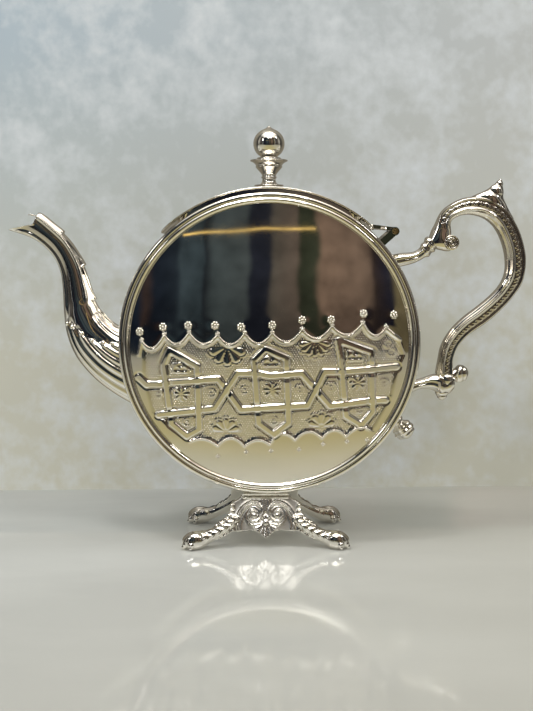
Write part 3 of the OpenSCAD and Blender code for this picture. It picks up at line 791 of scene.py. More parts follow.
def chasing(x, z):
    """Height of the relief over the plain dome, how deep it lies, and where it is stippled."""
    s = bpy.context.scene.teapot_band
    half, depth = s.strap_width / MM / 2, s.field_depth / MM
    to_garland = signed_distance(x, z, garland_line(), False)
    to_arches = signed_distance(x, z, arch_line(), True)
    lx, rx = (np.interp(-z, [-p[1] for p in edge], [p[0] for p in edge]) for edge in (LEFT_EDGE, RIGHT_EDGE))
    field = (smoothstep(0.3, 1.5, to_garland) * smoothstep(-0.5, 2.5, to_arches)
             * smoothstep(-1, 3.5, x - lx) * smoothstep(-1, 3.5, rx - x))
    small, plain = small_work(x, z)
    height, nearest, strap, moat = weave(x, z, -depth * field + depth * 0.9 * small * field, half)
    stipple = field * (1 - plain) * smoothstep(half + 0.3, half + 0.8, nearest)
    # the garlands and the arches, with the metal swelling softly above the garlands
    rope = hump(to_garland, -0.1, 0.6) * smoothstep(79, 76, np.abs(x))
    above = to_garland < 0
    swell = hump(np.maximum(-to_garland, 0), 0, 2.4) * above * smoothstep(79, 74, np.abs(x))
    for cx, cz in ROSETTES:
        swell = np.maximum(swell, hump(np.hypot(x - cx, z - cz), 0, 3.4) * above)
    height = height + (0.6 * rope + 0.15 * swell) * (1 - strap)
    height = height + 0.3 * hump(to_arches, 0, 0.6) * smoothstep(-50, -45, x) * smoothstep(62, 57, x)
    # How deep the ground and the cut lines beside the straps lie; the finish darkens them as oxide in the
    # hollows and as painted shade.
    recess = np.clip(-height / depth, 0, 1) * 0.8 + 0.3 * moat
    return height, np.clip(recess, 0, 1), stipple * np.clip(1 - rope, 0, 1)


def dome_depth(x, z):
    """Depth of the plain dome in front of the middle plane."""
    rho2 = x**2 + z**2
    return DISC_FACE + DOME_RISE - DOME_SPHERE_R + np.sqrt(DOME_SPHERE_R**2 - rho2)


def dome_facing(x, z):
    return unit(np.stack([x, -np.sqrt(DOME_SPHERE_R**2 - x**2 - z**2), z], -1))


def to_drum(points):
    return np.asarray(points, float) + [0, 0, DRUM_Z]


def disc_points():
    """The pressed dome, its bead and flange, and the plain inner wall, as points, faces and marks."""
    coarse, fine, band_foot, band_top = math.radians(1.4), 0.44, -70, 24
    low, high = math.asin(band_foot / DOME_R), math.asin(band_top / DOME_R)
    below = np.arange(-math.pi / 2 + coarse / 2, low, coarse)
    above = np.arange(high, math.pi / 2, coarse) + coarse / 2
    above = above[above < math.pi / 2]
    z = np.concatenate([DOME_R * np.sin(below), np.arange(band_foot, band_top, fine), DOME_R * np.sin(above)])
    rows, columns = len(z), 292
    u = np.linspace(-1, 1, columns)
    zz = np.repeat(z[:, None], columns, 1)
    xx = u[None, :] * np.sqrt(DOME_R**2 - z**2)[:, None]
    height, recess, stipple = chasing(xx, zz)
    fade = smoothstep(0, 2.5, DOME_R - np.hypot(xx, zz))
    height *= fade
    n = dome_facing(xx, zz)
    base = np.stack([xx, -dome_depth(xx, zz), zz], -1) + n * height[..., None]
    front = base.reshape(-1, 3)
    faces = [grid_quads(rows, columns)]
    right = np.arange(rows) * columns + columns - 1
    left = np.arange(rows) * columns
    bottom, top = len(front), len(front) + 1
    front = np.vstack([front, [[0, -DISC_FACE, -DOME_R], [0, -DISC_FACE, DOME_R]]])
    first, last = np.arange(columns), np.arange(columns) + (rows - 1) * columns
    faces.append(np.stack([first[1:], first[:-1], np.full(columns - 1, bottom)], -1))
    faces.append(np.stack([last[:-1], last[1:], np.full(columns - 1, top)], -1))
    loop = np.concatenate([right, [top], left[::-1], [bottom]])
    angle = np.arctan2(front[loop, 2], front[loop, 0])
    bead = [(DOME_R + 0.25, DISC_FACE - 0.45), (DOME_R + 0.5, DISC_FACE - 0.1)]
    for k in range(1, 11):
        bead.append((DOME_R + 0.5 + 3.2 * k / 10, DISC_FACE - 0.05 + 1.05 * math.sin(math.pi * k / 10)))
    wall = [(BAND_R, BAND_HALF_DEPTH + 0.05), (DOME_R - 0.2, BAND_HALF_DEPTH - 0.1)]
    wall += [(r, dome_depth(np.float64(r), 0.0) - DISC_WALL - 1.0) for r in (80, 72, 60, 45, 28, 12)]
    rings = bead + wall
    ring_points = np.concatenate([
        np.stack([r * np.cos(angle), np.full(len(angle), -y), r * np.sin(angle)], -1) for r, y in rings])
    start = len(front)
    points = np.vstack([front, ring_points, [[0, -(dome_depth(0.0, 0.0) - DISC_WALL - 1.0), 0]]])
    m = len(loop)
    k = np.arange(m)
    faces.append(np.stack([loop, np.roll(loop, -1), start + np.roll(k, -1), start + k], -1))
    faces.append(grid_quads(len(rings), m, False, True, start))
    faces.append(fan_faces(start + (len(rings) - 1) * m + k, len(points) - 1))
    marks = np.zeros((2, len(points)))
    marks[0, : rows * columns] = recess.ravel()
    marks[1, : rows * columns] = stipple.ravel()
    return points, faces, marks


def surface_line(line, lift):
    """A line of [x, z] laid on the chased dome."""
    x, z = np.array(line, float).T
    height = chasing(x, z)[0]
    n = dome_facing(x, z)
    return np.stack([x, -dome_depth(x, z), z], -1) + n * (height + lift)[:, None], n


class TEAPOT_OT_discs(bpy.types.Operator):
    """Stamp the two domed discs with their interlace band"""

    bl_idname = "teapot.discs"
    bl_label = "Stamped discs"

    def execute(self, context):
        points, faces, marks = disc_points()
        for name, way in (("front_disc", FRONT), ("rear_disc", REAR)):
            mesh = make_mesh(name + "_stamped", to_drum(points * way), *faces)
            if len(mesh.vertices) != len(points):
                raise RuntimeError("the stamped disc lost points")
            set_attribute(mesh, "recess", marks[0])
            set_attribute(mesh, "stipple", marks[1])
            finish_piece(mesh, "pot", material("chased_sheet"), "polished_sheet", name)
        return {"FINISHED"}


def ground_dots():
    """Places of the punched dots: a staggered grid wherever the field is stippled."""
    pitch = bpy.context.scene.teapot_band.dot_pitch / MM
    rows = np.arange(-70, 22, pitch * math.sqrt(0.75))
    x, z = np.meshgrid(np.arange(-80, 80, pitch), rows)
    x = x + (np.arange(len(rows)) % 2)[:, None] * pitch / 2
    keep = chasing(x, z)[2] > 0.55
    return np.stack([x[keep], z[keep]], -1)


class TEAPOT_OT_beadwork(bpy.types.Operator):
    """Set the beads of the garlands and arches, the rosettes and the dotted ground, on both discs"""

    bl_idname = "teapot.beadwork"
    bl_label = "Beads and rosettes"

    def execute(self, context):
        s = context.scene.teapot_band
        garland = [(x, z + 1.25) for x, z in garland_line() if abs(x) < 76.5]
        arches = [(x, z) for x, z in arch_line() if -47 < x < 60]
        points, edges = [], []
        for line in (garland, arches):
            placed, _ = surface_line(line, 0.15)
            edges += [(len(points) + k, len(points) + k + 1) for k in range(len(placed) - 1)]
            points += placed.tolist()
        knots = [(x, z + 1.6) for x, z in GARLAND_CUSPS] + LOW_ROSETTES
        work = (
            ("beads", np.array(points), None, edges, bead_line_tree,
             {"Pitch": s.bead_pitch, "Bead radius": s.bead_radius}),
            ("rosettes", *surface_line(ROSETTES, 0.05), [], rosette_tree,
             rosette_sizes(s.rosette_petals, 1.75, 0.85, 1.0)),
            ("knots", *surface_line(knots, 0.1), [], rosette_tree, rosette_sizes(4, 0.95, 0.62, 0.7)),
            ("ground_dots", surface_line(ground_dots(), -0.12)[0], None, [], dot_tree,
             {"Dot radius": s.dot_radius}),
        )
        for side, way in (("front", FRONT), ("rear", REAR)):
            for label, places, facing, lines, tree, sizes in work:
                aims = None if facing is None else facing * way
                grow(f"{side}_{label}", to_drum(places * way), lines, tree, "polished_sheet", sizes, aims)
        return {"FINISHED"}


# ---------- drum, rims and lid ----------


def round_outline(half_x, half_y, corner, steps=10, straight=26):
    """A rectangle with round corners, as points that run anticlockwise."""
    points = []
    for k, (sx, sy) in enumerate(((1, 1), (-1, 1), (-1, -1), (1, -1))):
        start = math.pi / 2 * k
        cx, cy = sx * (half_x - corner), sy * (half_y - corner)
        for a in np.linspace(start, start + math.pi / 2, steps):
            points.append((cx + corner * math.cos(a), cy + corner * math.sin(a)))
    points = np.array(points)
    dense = []
    for a, b in zip(points, np.roll(points, -1, 0)):
        count = max(1, int(np.hypot(*(b - a)) / (2 * half_x / straight)))
        dense += [a + (b - a) * t for t in np.arange(count) / count]
    return np.array(dense)


def on_cylinder(x, y, radius):
    return np.stack([x, y, np.sqrt(np.maximum(radius**2 - x**2, 0))], -1)


class TEAPOT_OT_rims(bpy.types.Operator):
    """Roll the two bead rims that clasp the seams"""

    bl_idname = "teapot.rims"
    bl_label = "Rims"

    def execute(self, context):
        tube = 1.9
        outer = RIM_R - tube
        face = DISC_FACE - tube + 0.4
        back = DISC_FACE - tube - 3
        profile = arc(outer, face, tube, 100, -8, 12) + [(RIM_R - 0.9, face - 0.7), (RIM_R - 0.9, back)]
        profile += [(BAND_R + 0.02, back), (BAND_R + 0.02, face + 1.3), (BAND_R + 0.35, face + 1.75)]
        for name, side in (("front_rim", -1), ("rear_rim", 1)):
            points, faces = revolve(profile, 288, closed_profile=True)
            points = np.stack([points[:, 0], side * points[:, 2], points[:, 1]], -1)
            mesh = make_mesh(name + "_rolled", to_drum(points), *faces)
            finish_piece(mesh, "pot", material("polished_sheet"), "polished_sheet", name)
        return {"FINISHED"}


class TEAPOT_OT_lid(bpy.types.Operator):
    """Bend the lid's cover over the top of the drum"""

    bl_idname = "teapot.lid"
    bl_label = "Lid cover"

    def execute(self, context):
        low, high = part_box("lid_cover")
        shift = (low.x + high.x) / 2 / MM
        half_x, half_y = (high.x - low.x) / 2 / MM, (high.y - low.y) / 2 / MM
        roll, across = 0.42, half_y * 0.92
        edge = np.radians(np.linspace(0, 90, 5))
        steps = [(inset, LID_OUTER_R) for inset in (across, 16, 10, 5, 2, 1.2)]
        steps += [(roll - roll * math.sin(a), LID_OUTER_R - roll + roll * math.cos(a)) for a in edge]
        steps += [(roll - roll * math.cos(a), LID_INNER_R + roll - roll * math.sin(a)) for a in edge]
        steps += [(inset, LID_INNER_R) for inset in (1.2, 5, 16, across)]
        count, rings = 260, []
        for inset, radius in steps:
            outline = round_outline(half_x - inset, half_y - inset, max(8 - inset, 0.6), straight=60)
            x, y = even_loop(outline, count).T
            rings.append(on_cylinder(x + shift, y, radius))
        points = np.concatenate(rings)
        faces = [grid_quads(len(rings), count, False, True), *flat_caps(count, len(rings), True)]
        mesh = make_mesh("lid_cover_bent", to_drum(points), *faces)
        finish_piece(mesh, "lid", material("polished_sheet"), "polished_sheet", "lid_cover")
        return {"FINISHED"}


class TEAPOT_OT_small_parts(bpy.types.Operator):
    """Give the carried-over pieces their silver or brass"""

    bl_idname = "teapot.small_parts"
    bl_label = "Hinge and inner pieces"

    def execute(self, context):
        finishes = {
            "polished_sheet": ["drum_band", "mouth_collar", "lid_skirt"],
            "cast_silver": ["hinge_lid_leaf", "hinge_bracket"],
            "plain_brass": ["finial_stud", "finial_washer", "finial_nut", "hinge_pin"],
        }
        for finish, nodes in finishes.items():
            for name in nodes:
                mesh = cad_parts[name].data
                mesh.materials.clear()
                mesh.materials.append(material(finish))
        return {"FINISHED"}


# ---------- finial ----------


BALUSTER_HEIGHT = 19.0
BALL_R = 9.5


class TEAPOT_OT_finial(bpy.types.Operator):
    """Turn the finial: a baluster with its mouldings, and the ball with its point"""

    bl_idname = "teapot.finial"
    bl_label = "Finial"

    def execute(self, context):
        top = DRUM_Z + LID_OUTER_R
        h = BALUSTER_HEIGHT
        seat = [(2.03, -0.4)]
        foot = [(7.6, -0.4), (7.6, 1.5)] + arc(8.5, 2.0, 0.4, -70, 80, 6)
        foot += [(7.6, 2.5)] + arc(7.2, 5.4, 3.1, 262, 190, 8)
        stem = [(3.95, h * 0.335)] + arc(4.2, h * 0.365, 0.6, -70, 70, 6) + [(4.1, h * 0.41)]
        bell = [(4.5, h * 0.46), (5.3, h * 0.52), (6.4, h * 0.585), (7.5, h * 0.65)]
        bell += arc(7.7, h * 0.70, 0.5, -60, 80, 6) + [(7.9, h * 0.75), (8.9, h * 0.81), (10.2, h * 0.86)]
        flange = arc(11.0, h * 0.895, 0.42, -70, 90, 7)
        flange += [(10.4, h * 0.915), (9.0, h * 0.925), (7.6, h * 0.93)]
        collar = arc(6.6, h * 0.955, 0.75, -60, 100, 7) + [(6.0, h), (2.03, h)]
        points, faces = revolve(seat + foot + stem + bell + flange + collar, 96, closed_profile=True)
        mesh = make_mesh("finial_baluster_turned", points + [0, 0, top], *faces)
        finish_piece(mesh, "lid", material("turned_silver"), "turned_silver", "finial_baluster")
        r, middle = BALL_R, h + BALL_R * 0.86
        ball = [(0, h + 0.02), (5.0, h + 0.02)]
        ball += [(r * math.cos(a), max(h + 0.02, middle + r * 0.96 * math.sin(a)))
                 for a in np.radians(np.linspace(-56, 66, 34))]
        tip = middle + r * 0.96
        ball += [(3.1, tip - 0.42), (2.4, tip - 0.12), (1.8, tip + 0.22), (1.2, tip + 0.68), (0.7, tip + 1.2),
                 (0.35, tip + 1.6), (0, tip + 1.78)]
        points, faces = revolve(ball, 96)
        mesh = make_mesh("finial_ball_turned", points + [0, 0, top], *faces)
        finish_piece(mesh, "lid", material("turned_silver"), "turned_silver", "finial_ball")
        return {"FINISHED"}


# ---------- cast spout ----------

SPOUT_STATIONS = [
    [-70, -47, -80, 3, 16], [-83.4, -39.5, -86, 6.6, 15.5], [-96.6, -31.6, -94, 10, 14.5],
    [-108.6, -22, -99, 13.8, 13], [-118.8, -9.5, -103, 18.3, 11.2], [-124.2, 4, -105.6, 23, 9.6],
    [-126, 17.5, -107.8, 27.7, 8.4], [-126.4, 30, -109.6, 34.4, 7.6], [-127.4, 41, -112.6, 45, 7],
    [-130.4, 49.8, -116.4, 53.6, 6.6], [-135.2, 56.2, -122, 62.8, 6.3], [-141.6, 61.6, -130.4, 71, 6],
    [-148, 64.8, -139.6, 78.6, 5.4], [-153.4, 66.6, -147.6, 79, 4.4], [-158.6, 68.2, -156, 74, 2.4]]
LIP_LINE = [(-140.4, 77.9), (-143.4, 71.6), (-158.6, 68.9)]
# The tip of each gadroon in the spout's side view, where its pearl sits.
GADROON_PLACES = [(-122.5, 12), (-119.5, 10), (-114, 5.8), (-107.5, 1.4), (-100.6, -0.2), (-95, -1)]


def gadroon_tip(x, z):
    """Degrees round the section, and station along the spout, of the skin's nearest point to a place."""
    rows = smooth_rows(SPOUT_STATIONS, 1401)
    degrees = np.arange(5, 176)
    one, other = rows[:, None, :2], rows[:, None, 2:4]
    skin = (one + other) / 2 + (one - other) / 2 * np.cos(np.radians(degrees))[None, :, None]
    gap = np.hypot(skin[..., 0] - x, skin[..., 1] - z)
    row, column = np.unravel_index(gap.argmin(), gap.shape)
    return int(degrees[column]), round(row * (len(SPOUT_STATIONS) - 1) / (len(rows) - 1), 2)


GADROON_TIPS = [gadroon_tip(x, z) for x, z in GADROON_PLACES]


def section_point(row, angle, inset=0.0, side=1.0):
    """A point of the elliptical section through the two outline points of a row."""
    a = np.stack([row[..., 0], np.zeros_like(row[..., 0]), row[..., 1]], -1)
    b = np.stack([row[..., 2], np.zeros_like(row[..., 0]), row[..., 3]], -1)
    half = (a - b) / 2
    size = np.linalg.norm(half, axis=-1, keepdims=True)
    point = (a + b) / 2 + half * (1 - inset / np.maximum(size, 1e-6)) * np.cos(angle)[..., None]
    point[..., 1] += side * (row[..., 4] - inset) * np.sin(angle)
    return point


# The ridge's steps, in stations along the spout, and the ribs, in degrees round its section.
RIDGE_STEPS = ((5.6, 8.15), (8.15, 10.4), (10.4, 13.2))
RIBS = (42, 128)


def spout_relief(t, angle):
    """Ridge steps, side ribs, a sunk panel and the gadroons at the root."""
    deg = np.degrees(angle)
    height = np.zeros_like(t)
    ridge = smoothstep(140, 172, deg)
    for low, high in RIDGE_STEPS:
        u = np.clip((high - t) / (high - low), 0, 1)
        inside = (t >= low) & (t <= high)
        height += np.where(inside, 1.5 * u**1.6 * smoothstep(0, 0.07, t - low), 0) * ridge
    upper = smoothstep(5.4, 6.4, t) * smoothstep(13.6, 12.4, t)
    for rib in RIBS:
        height += 0.8 * hump(deg, rib, 5.5) * upper
    height -= 0.6 * hump(deg, 27, 4.5) * smoothstep(4.6, 5.6, t) * smoothstep(13.6, 12.4, t)
    panel = smoothstep(48, 54, deg) * smoothstep(122, 116, deg)
    panel = panel * smoothstep(5.7, 6.5, t) * smoothstep(13.2, 12, t)
    height -= 0.6 * panel
    tips, stations = zip(*GADROON_TIPS)
    edges = [36] + [(a + b) / 2 for a, b in zip(tips[:-1], tips[1:])] + [124]
    lobe = np.interp(deg, edges, np.arange(len(edges)))
    across = np.abs(lobe % 1 - 0.5) * 2
    below = np.interp(deg, tips, stations) - t + 0.3 * (1 - across**2)
    zone = smoothstep(34, 38, deg) * smoothstep(126, 122, deg)
    swell = np.sqrt(np.clip(1 - across**2, 0, 1)) * smoothstep(0, 0.5, below)
    height += (2.0 * swell - 0.7 * smoothstep(-0.3, 0.4, below)) * zone
    flute = smoothstep(122, 127, deg) * smoothstep(176, 170, deg) * smoothstep(0, 1, 4.6 - t)
    height += 0.8 * np.abs(np.sin((deg - 122) * math.pi / 14)) * flute
    crease = zone * smoothstep(0, 0.4, below) * smoothstep(0.7, 1, across)
    # The second value marks the sunk panel and the creases between the gadroons, which the finish darkens:
    # oxide in the hollows and painted shade.
    return height, np.clip(0.45 * panel + 0.8 * crease, 0, 1)


SPOUT_WALL = 1.4
SPOUT_ROWS = 2801


def run_between(rows, angle, inset, side):
    """Where each long line of the spout leaves the drum and where the mouth cuts it."""
    t = np.linspace(0, len(SPOUT_STATIONS) - 1, rows.shape[0])
    point = section_point(rows[:, None, :], np.broadcast_to(angle, (rows.shape[0], len(angle))), inset, side)
    radius = np.hypot(point[..., 0], point[..., 2])
    inside = radius < BAND_R + 0.02
    line = np.array(LIP_LINE)[::-1]
    lip = np.interp(point[..., 0], line[:, 0], line[:, 1])
    cut = (point[..., 2] > lip) & (point[..., 0] < LIP_LINE[0][0]) & (t[:, None] > 9)
    begin, end = np.zeros(len(angle)), np.zeros(len(angle))
    for k in range(len(angle)):
        last = np.nonzero(inside[:, k])[0]
        i = last[-1] if len(last) else 0
        r0, r1 = radius[i, k], radius[min(i + 1, len(t) - 1), k]
        f = (BAND_R + 0.02 - r0) / (r1 - r0) if r1 > r0 else 0
        begin[k] = t[i] + f * (t[1] - t[0])
        first = np.nonzero(cut[:, k])[0]
        end[k] = t[first[0]] if len(first) else t[-1]
    return begin, end


def spout_half(side):
    fine = smooth_rows(SPOUT_STATIONS, SPOUT_ROWS)
    angle = np.linspace(0, math.pi, 73)
    lengths = np.linspace(0, 1, 210)
    skins, marks = [], []
    for inset in (0.0, SPOUT_WALL):
        begin, end = run_between(fine, angle, inset, side)
        kernel = np.array([1, 2, 3, 2, 1]) / 9
        end = np.concatenate([end[:2], np.convolve(end, kernel, "valid"), end[-2:]])
        t = begin[None, :] + (end - begin)[None, :] * lengths[:, None]
        index = t / (len(SPOUT_STATIONS) - 1) * (len(fine) - 1)
        low = np.minimum(index.astype(int), len(fine) - 2)
        f = (index - low)[..., None]
        row = fine[low] * (1 - f) + fine[low + 1] * f
        a = np.broadcast_to(angle, t.shape)
        point = section_point(row, a, inset, side)
        recess = np.zeros_like(t)
        if inset == 0:
            height, recess = spout_relief(t, a)
            height = height * smoothstep(0, 0.02, lengths)[:, None] * smoothstep(1, 0.985, lengths)[:, None]
            n = surface_normals(point)
            if (n[100, 36] * [0, side, 0]).sum() < 0:
                n = -n
            n[:, (0, -1), 1] = 0
            point = point + n * height[..., None]
        point[:, (0, -1), 1] = 0
        point[..., 1] = side * np.maximum(side * point[..., 1], 0)
        skins.append(point)
        marks.append(recess)
    # one closed tube of sections: outer wall one way, inner wall back
    ring = np.concatenate([skins[0], skins[1][:, ::-1]], 1)
    recess = np.concatenate([marks[0], marks[1][:, ::-1]], 1)
    rows, count = ring.shape[:2]
    faces = [grid_quads(rows, count, False, True), *flat_caps(count, rows, True)]
    return ring.reshape(-1, 3), faces, recess.ravel()


def spout_spot(t, degrees, side, lift):
    """A point on the spout's outer skin."""
    fine = smooth_rows(SPOUT_STATIONS, SPOUT_ROWS)
    index = np.clip(t / (len(SPOUT_STATIONS) - 1), 0, 1) * (len(fine) - 1)
    row = fine[int(index)][None]
    angle = np.array([math.radians(degrees)])
    point = section_point(row, angle, 0, side)[0]
    middle = np.array([(row[0, 0] + row[0, 2]) / 2, 0, (row[0, 1] + row[0, 3]) / 2])
    return point + unit(point - middle) * lift


def place_cast(name, points, faces, recess):
    """A piece of the pot in cast silver that stands for the CAD node of its name."""
    mesh = make_mesh(name + "_cast", to_drum(points), *faces)
    if len(mesh.vertices) == len(recess):
        set_attribute(mesh, "recess", recess)
    return finish_piece(mesh, "pot", material("cast_silver"), "cast_silver", name)


class TEAPOT_OT_spout(bpy.types.Operator):
    """Cast the spout in its two halves, with ribs, ridge steps and gadroons"""

    bl_idname = "teapot.spout"
    bl_label = "Spout"

    def execute(self, context):
        for name, side in (("spout_front_half", -1), ("spout_rear_half", 1)):
            place_cast(name, *spout_half(side))
            line = [spout_spot(t, RIBS[1], side, 0.75) for t in np.linspace(6.2, 12.6, 60)]
            edges = [(k, k + 1) for k in range(len(line) - 1)]
            grow(name + "_rib_beads", to_drum(line), edges, bead_line_tree, "cast_silver",
                 {"Pitch": 1.25 * MM, "Bead radius": 0.5 * MM})
            spots = [spout_spot(t, d, side, 0.9) for d, t in GADROON_TIPS]
            aims = [np.array(p) * [0.03, 0, 0.03] + [3.6, side, 0] for p in spots]
            grow(name + "_pearls", to_drum(spots), [], rosette_tree, "cast_silver",
                 rosette_sizes(3, 0.6, 0.85, 1.3), aims)
        return {"FINISHED"}


# ---------- cast handle ----------

UPPER_ARM = [
    [70, 43.6, 68, 51.6, 4.2], [82, 46.2, 80.4, 54.2, 4.2], [90.4, 48.6, 89, 55.2, 3.9],
    [97.4, 52.6, 93.8, 58.6, 4.2], [102.6, 57.2, 97.4, 64.4, 5]]
# The grip as it was first drawn; it was then drawn in a little towards the drum.
GRIP_TRIM = 0.99
GRIP_DRAWN = [
    [104.5, 56.5, 99.5, 64, 5.6], [113, 56, 101, 68.5, 6.2], [113, 66.5, 102.6, 71.5, 5.6],
    [112.8, 73.2, 106.2, 78.8, 5], [117.2, 76.6, 111.6, 83.8, 5.4], [124, 77.8, 121, 88, 5.9],
    [132, 76, 133.6, 88.4, 6.2], [138.4, 71.6, 146, 82.2, 6.2], [142.6, 65.4, 153.2, 72.2, 6.2],
    [145.8, 57.4, 157.6, 62, 6.2], [147.2, 49.4, 159.9, 50.4, 5.9], [146.8, 41.4, 158.4, 37.4, 5.6],
    [143.2, 34, 152.8, 28, 5.4], [137.4, 27.6, 145.4, 19.6, 5.3], [129.4, 21, 136.4, 11.6, 5.2],
    [120.4, 14, 126.4, 4.8, 5.2], [112.8, 6, 121.2, 0, 5.2], [107.8, -3, 117.8, -5, 5.2],
    [106, -12, 115.4, -12.6, 5.4], [104.6, -20, 116, -20.6, 5.8]]
GRIP = [[round(x * GRIP_TRIM, 1), z, round(x2 * GRIP_TRIM, 1), z2, half] for x, z, x2, z2, half in GRIP_DRAWN]
LOWER_ARM = [
    [76, -34.6, 76, -27.6, 4.4], [87.4, -32.4, 87.4, -25, 4], [95, -29.8, 95.4, -23, 3.8],
    [101.4, -30.4, 101.6, -20.8, 4.6], [108, -33.6, 107, -20.4, 5.8], [115, -30, 115, -20.6, 5]]


def limb(stations, rows, sides, relief=None, flat=2.0):
    """A closed cast limb; relief gives its height and depth marks from run (0 to 1) and angle."""
    row = smooth_rows(stations, rows)
    angle = np.linspace(0, 2 * math.pi, sides, endpoint=False)
    a = np.broadcast_to(angle, (rows, sides))
    if flat != 2.0:
        c, s = np.cos(a), np.sin(a)
        scale = (np.abs(c) ** flat + np.abs(s) ** flat) ** (-1 / flat)
    else:
        scale = np.ones_like(a)
    point = section_point(np.broadcast_to(row[:, None], (rows, sides, 5)), a)
    middle = np.stack([(row[:, 0] + row[:, 2]) / 2, np.zeros(rows), (row[:, 1] + row[:, 3]) / 2], -1)[:, None]
    point = middle + (point - middle) * scale[..., None]
    recess = np.zeros((rows, sides))
    if relief:
        out = unit(point - middle)
        height, recess = relief(np.broadcast_to(np.linspace(0, 1, rows)[:, None], a.shape), a)
        point = point + out * height[..., None]
    points, faces = capped_tube(point, middle[0], middle[-1])
    return points, faces, np.append(recess.ravel(), [0, 0])


def join_parts(parts):
    """Several sets of points, faces and marks as one."""
    points, faces, marks, start = [], [], [], 0
    for p, f, m in parts:
        points.append(np.asarray(p, float))
        faces += [np.asarray(g) + start for g in f]
        marks.append(np.asarray(m, float))
        start += len(p)
    return np.vstack(points), faces, np.concatenate(marks)


def flank_place(a):
    """How far a point is onto the flank (0 to 1), and its place across it: 90 inside, -90 outside."""
    return smoothstep(0.3, 0.55, np.abs(np.sin(a))), np.degrees(np.arcsin(np.clip(np.cos(a), -1, 1)))


# The vine's waves along the grip, as an angle in radians.
VINE_TURNS = 250


def grip_relief(run, a):
    """On both flanks: two raised edges, a sunk channel with a fine vine between them, and a flute inside."""
    flank, place = flank_place(a)
    body = smoothstep(0.09, 0.16, run)
    edge = hump(place, 20, 6) + hump(place, -44, 6)
    sunk = smoothstep(15, 8, place) * smoothstep(-40, -33, place)
    vine = hump(place + 12 - 11 * np.sin(run * VINE_TURNS), 0, 5)
    leaf = hump(place + 12 + 9 * np.sin(run * VINE_TURNS), 0, 5) * np.abs(np.cos(run * VINE_TURNS))
    flute = hump(place, 42, 10)
    scroll = 0.7 * np.maximum(vine, leaf)
    height = (0.6 * edge - 0.8 * sunk + 0.5 * scroll * sunk - 0.5 * flute) * flank * body
    # The second value darkens the sunk channel and the flute: oxide in the hollows and painted shade.
    return height, np.clip((sunk * (1 - scroll) * 0.9 + 0.25 * flute) * flank * body, 0, 1)


def arm_relief(run, a):
    """A groove between two keels along each flank, and a leaf collar near the grip."""
    flank, place = flank_place(a)
    keel = hump(place, 22, 10) + hump(place, -22, 10)
    groove = hump(place, 0, 9)
    collar = hump(run, 0.78, 0.05) + hump(run, 0.92, 0.05)
    lobes = 0.55 + 0.45 * np.abs(np.cos(2.5 * a))
    height = (0.35 * keel - 0.5 * groove) * flank * (1 - collar.clip(0, 1)) + 1.1 * collar * lobes
    # The second value darkens the groove and the hollows of the collar: oxide in the hollows and painted
    # shade.
    return height, np.clip(0.7 * groove * flank + 0.5 * collar * (1 - lobes), 0, 1)


def leafy_relief(run, a):
    """Lobes and veins of a cast leaf."""
    lobe = np.abs(np.cos(run * 11 + 0.8 * np.abs(np.sin(a)))) * smoothstep(0.2, 0.6, np.abs(np.sin(a)))
    fade = smoothstep(0, 0.12, run) * smoothstep(1, 0.8, run)
    # The second value darkens the hollows between the lobes: oxide in the hollows and painted shade.
    return (0.7 * lobe - 0.35) * fade, np.clip(1 - lobe * 1.6, 0, 1) * fade * 0.8


def roll_disc(centre, radius, half, turn=1.0):
    """A volute: a short drum across the handle with a spiral cut in both ends."""
    rings, steps = 22, 72
    angle = np.linspace(0, 2 * math.pi, steps, endpoint=False)
    ends, grooves = [], []
    r = np.linspace(0.05, 1, rings)[:, None] * radius
    for side in (-1, 1):
        spiral = (r / radius * 2.2 - turn * angle / (2 * math.pi)) % 1
        dome = half + 0.5 * np.sqrt(np.clip(1 - (r / radius) ** 2, 0, 1))
        groove = hump(spiral, 0.5, 0.16) * smoothstep(1.0, 0.85, r / radius)
        y = dome - 1.1 * groove
        grooves.append(groove)
        ends.append(np.stack([centre[0] + r * np.cos(angle), side * y, centre[1] + r * np.sin(angle)], -1))
    points, faces = capped_tube(np.concatenate([ends[0], ends[1][::-1]]), [centre[0], -half - 0.5, centre[1]],
                                [centre[0], half + 0.5, centre[1]])
    # The spiral grooves are marked for darkening: oxide in the hollows and painted shade.
    return points, faces, np.concatenate([grooves[0].ravel(), grooves[1][::-1].ravel(), [0, 0]])


# The small cast leaves of the handle, as rows like those of its arms.
UPPER_EAR = [
    [150.6, 75.3, 118, 86, 5.6], [146.9, 82.1, 127, 90.4, 5.2], [144.3, 87, 132.1, 92.6, 4.6],
    [143.9, 91, 135.5, 94.8, 3.8], [143.6, 94.5, 138.3, 96.9, 2.8], [143.1, 97.3, 140.4, 98.5, 1.8],
    [142.3, 99.3, 141.5, 99.6, 0.8]]
LOWER_EAR = [
    [108, -30, 107, -19.6, 4.6], [112, -28, 112.4, -19.4, 4], [115, -25.8, 115.4, -17, 4],
    [117.6, -26.2, 118, -14.8, 5], [120.4, -25.6, 120.6, -14.8, 5], [122.6, -24, 122.8, -16.4, 3.8],
    [124, -21.4, 124.1, -19, 1.4]]
LEAF_TIP = [
    [103, -25, 113.6, -25, 4.6], [104.2, -28, 111.8, -28, 4], [103.6, -31, 112, -30.6, 4.6],
    [104, -33.6, 111.8, -33, 4.4], [105.4, -35.8, 110.6, -35.2, 3.2], [107, -37, 109, -36.8, 1.2]]
KNUCKLE = [
    [104.4, -24.6, 104.4, -23.8, 0.6], [105.6, -28, 105.6, -20.4, 4], [108.6, -30, 108.6, -18.6, 5.8],
    [111.6, -30, 111.6, -18.6, 6.2], [114.6, -28, 114.6, -20, 4.4], [116.2, -24.8, 116.2, -23.4, 0.8]]
VOLUTE_MIDDLE, VOLUTE_R, VOLUTE_HALF = (111.4, 60.6), 4.6, 6.4


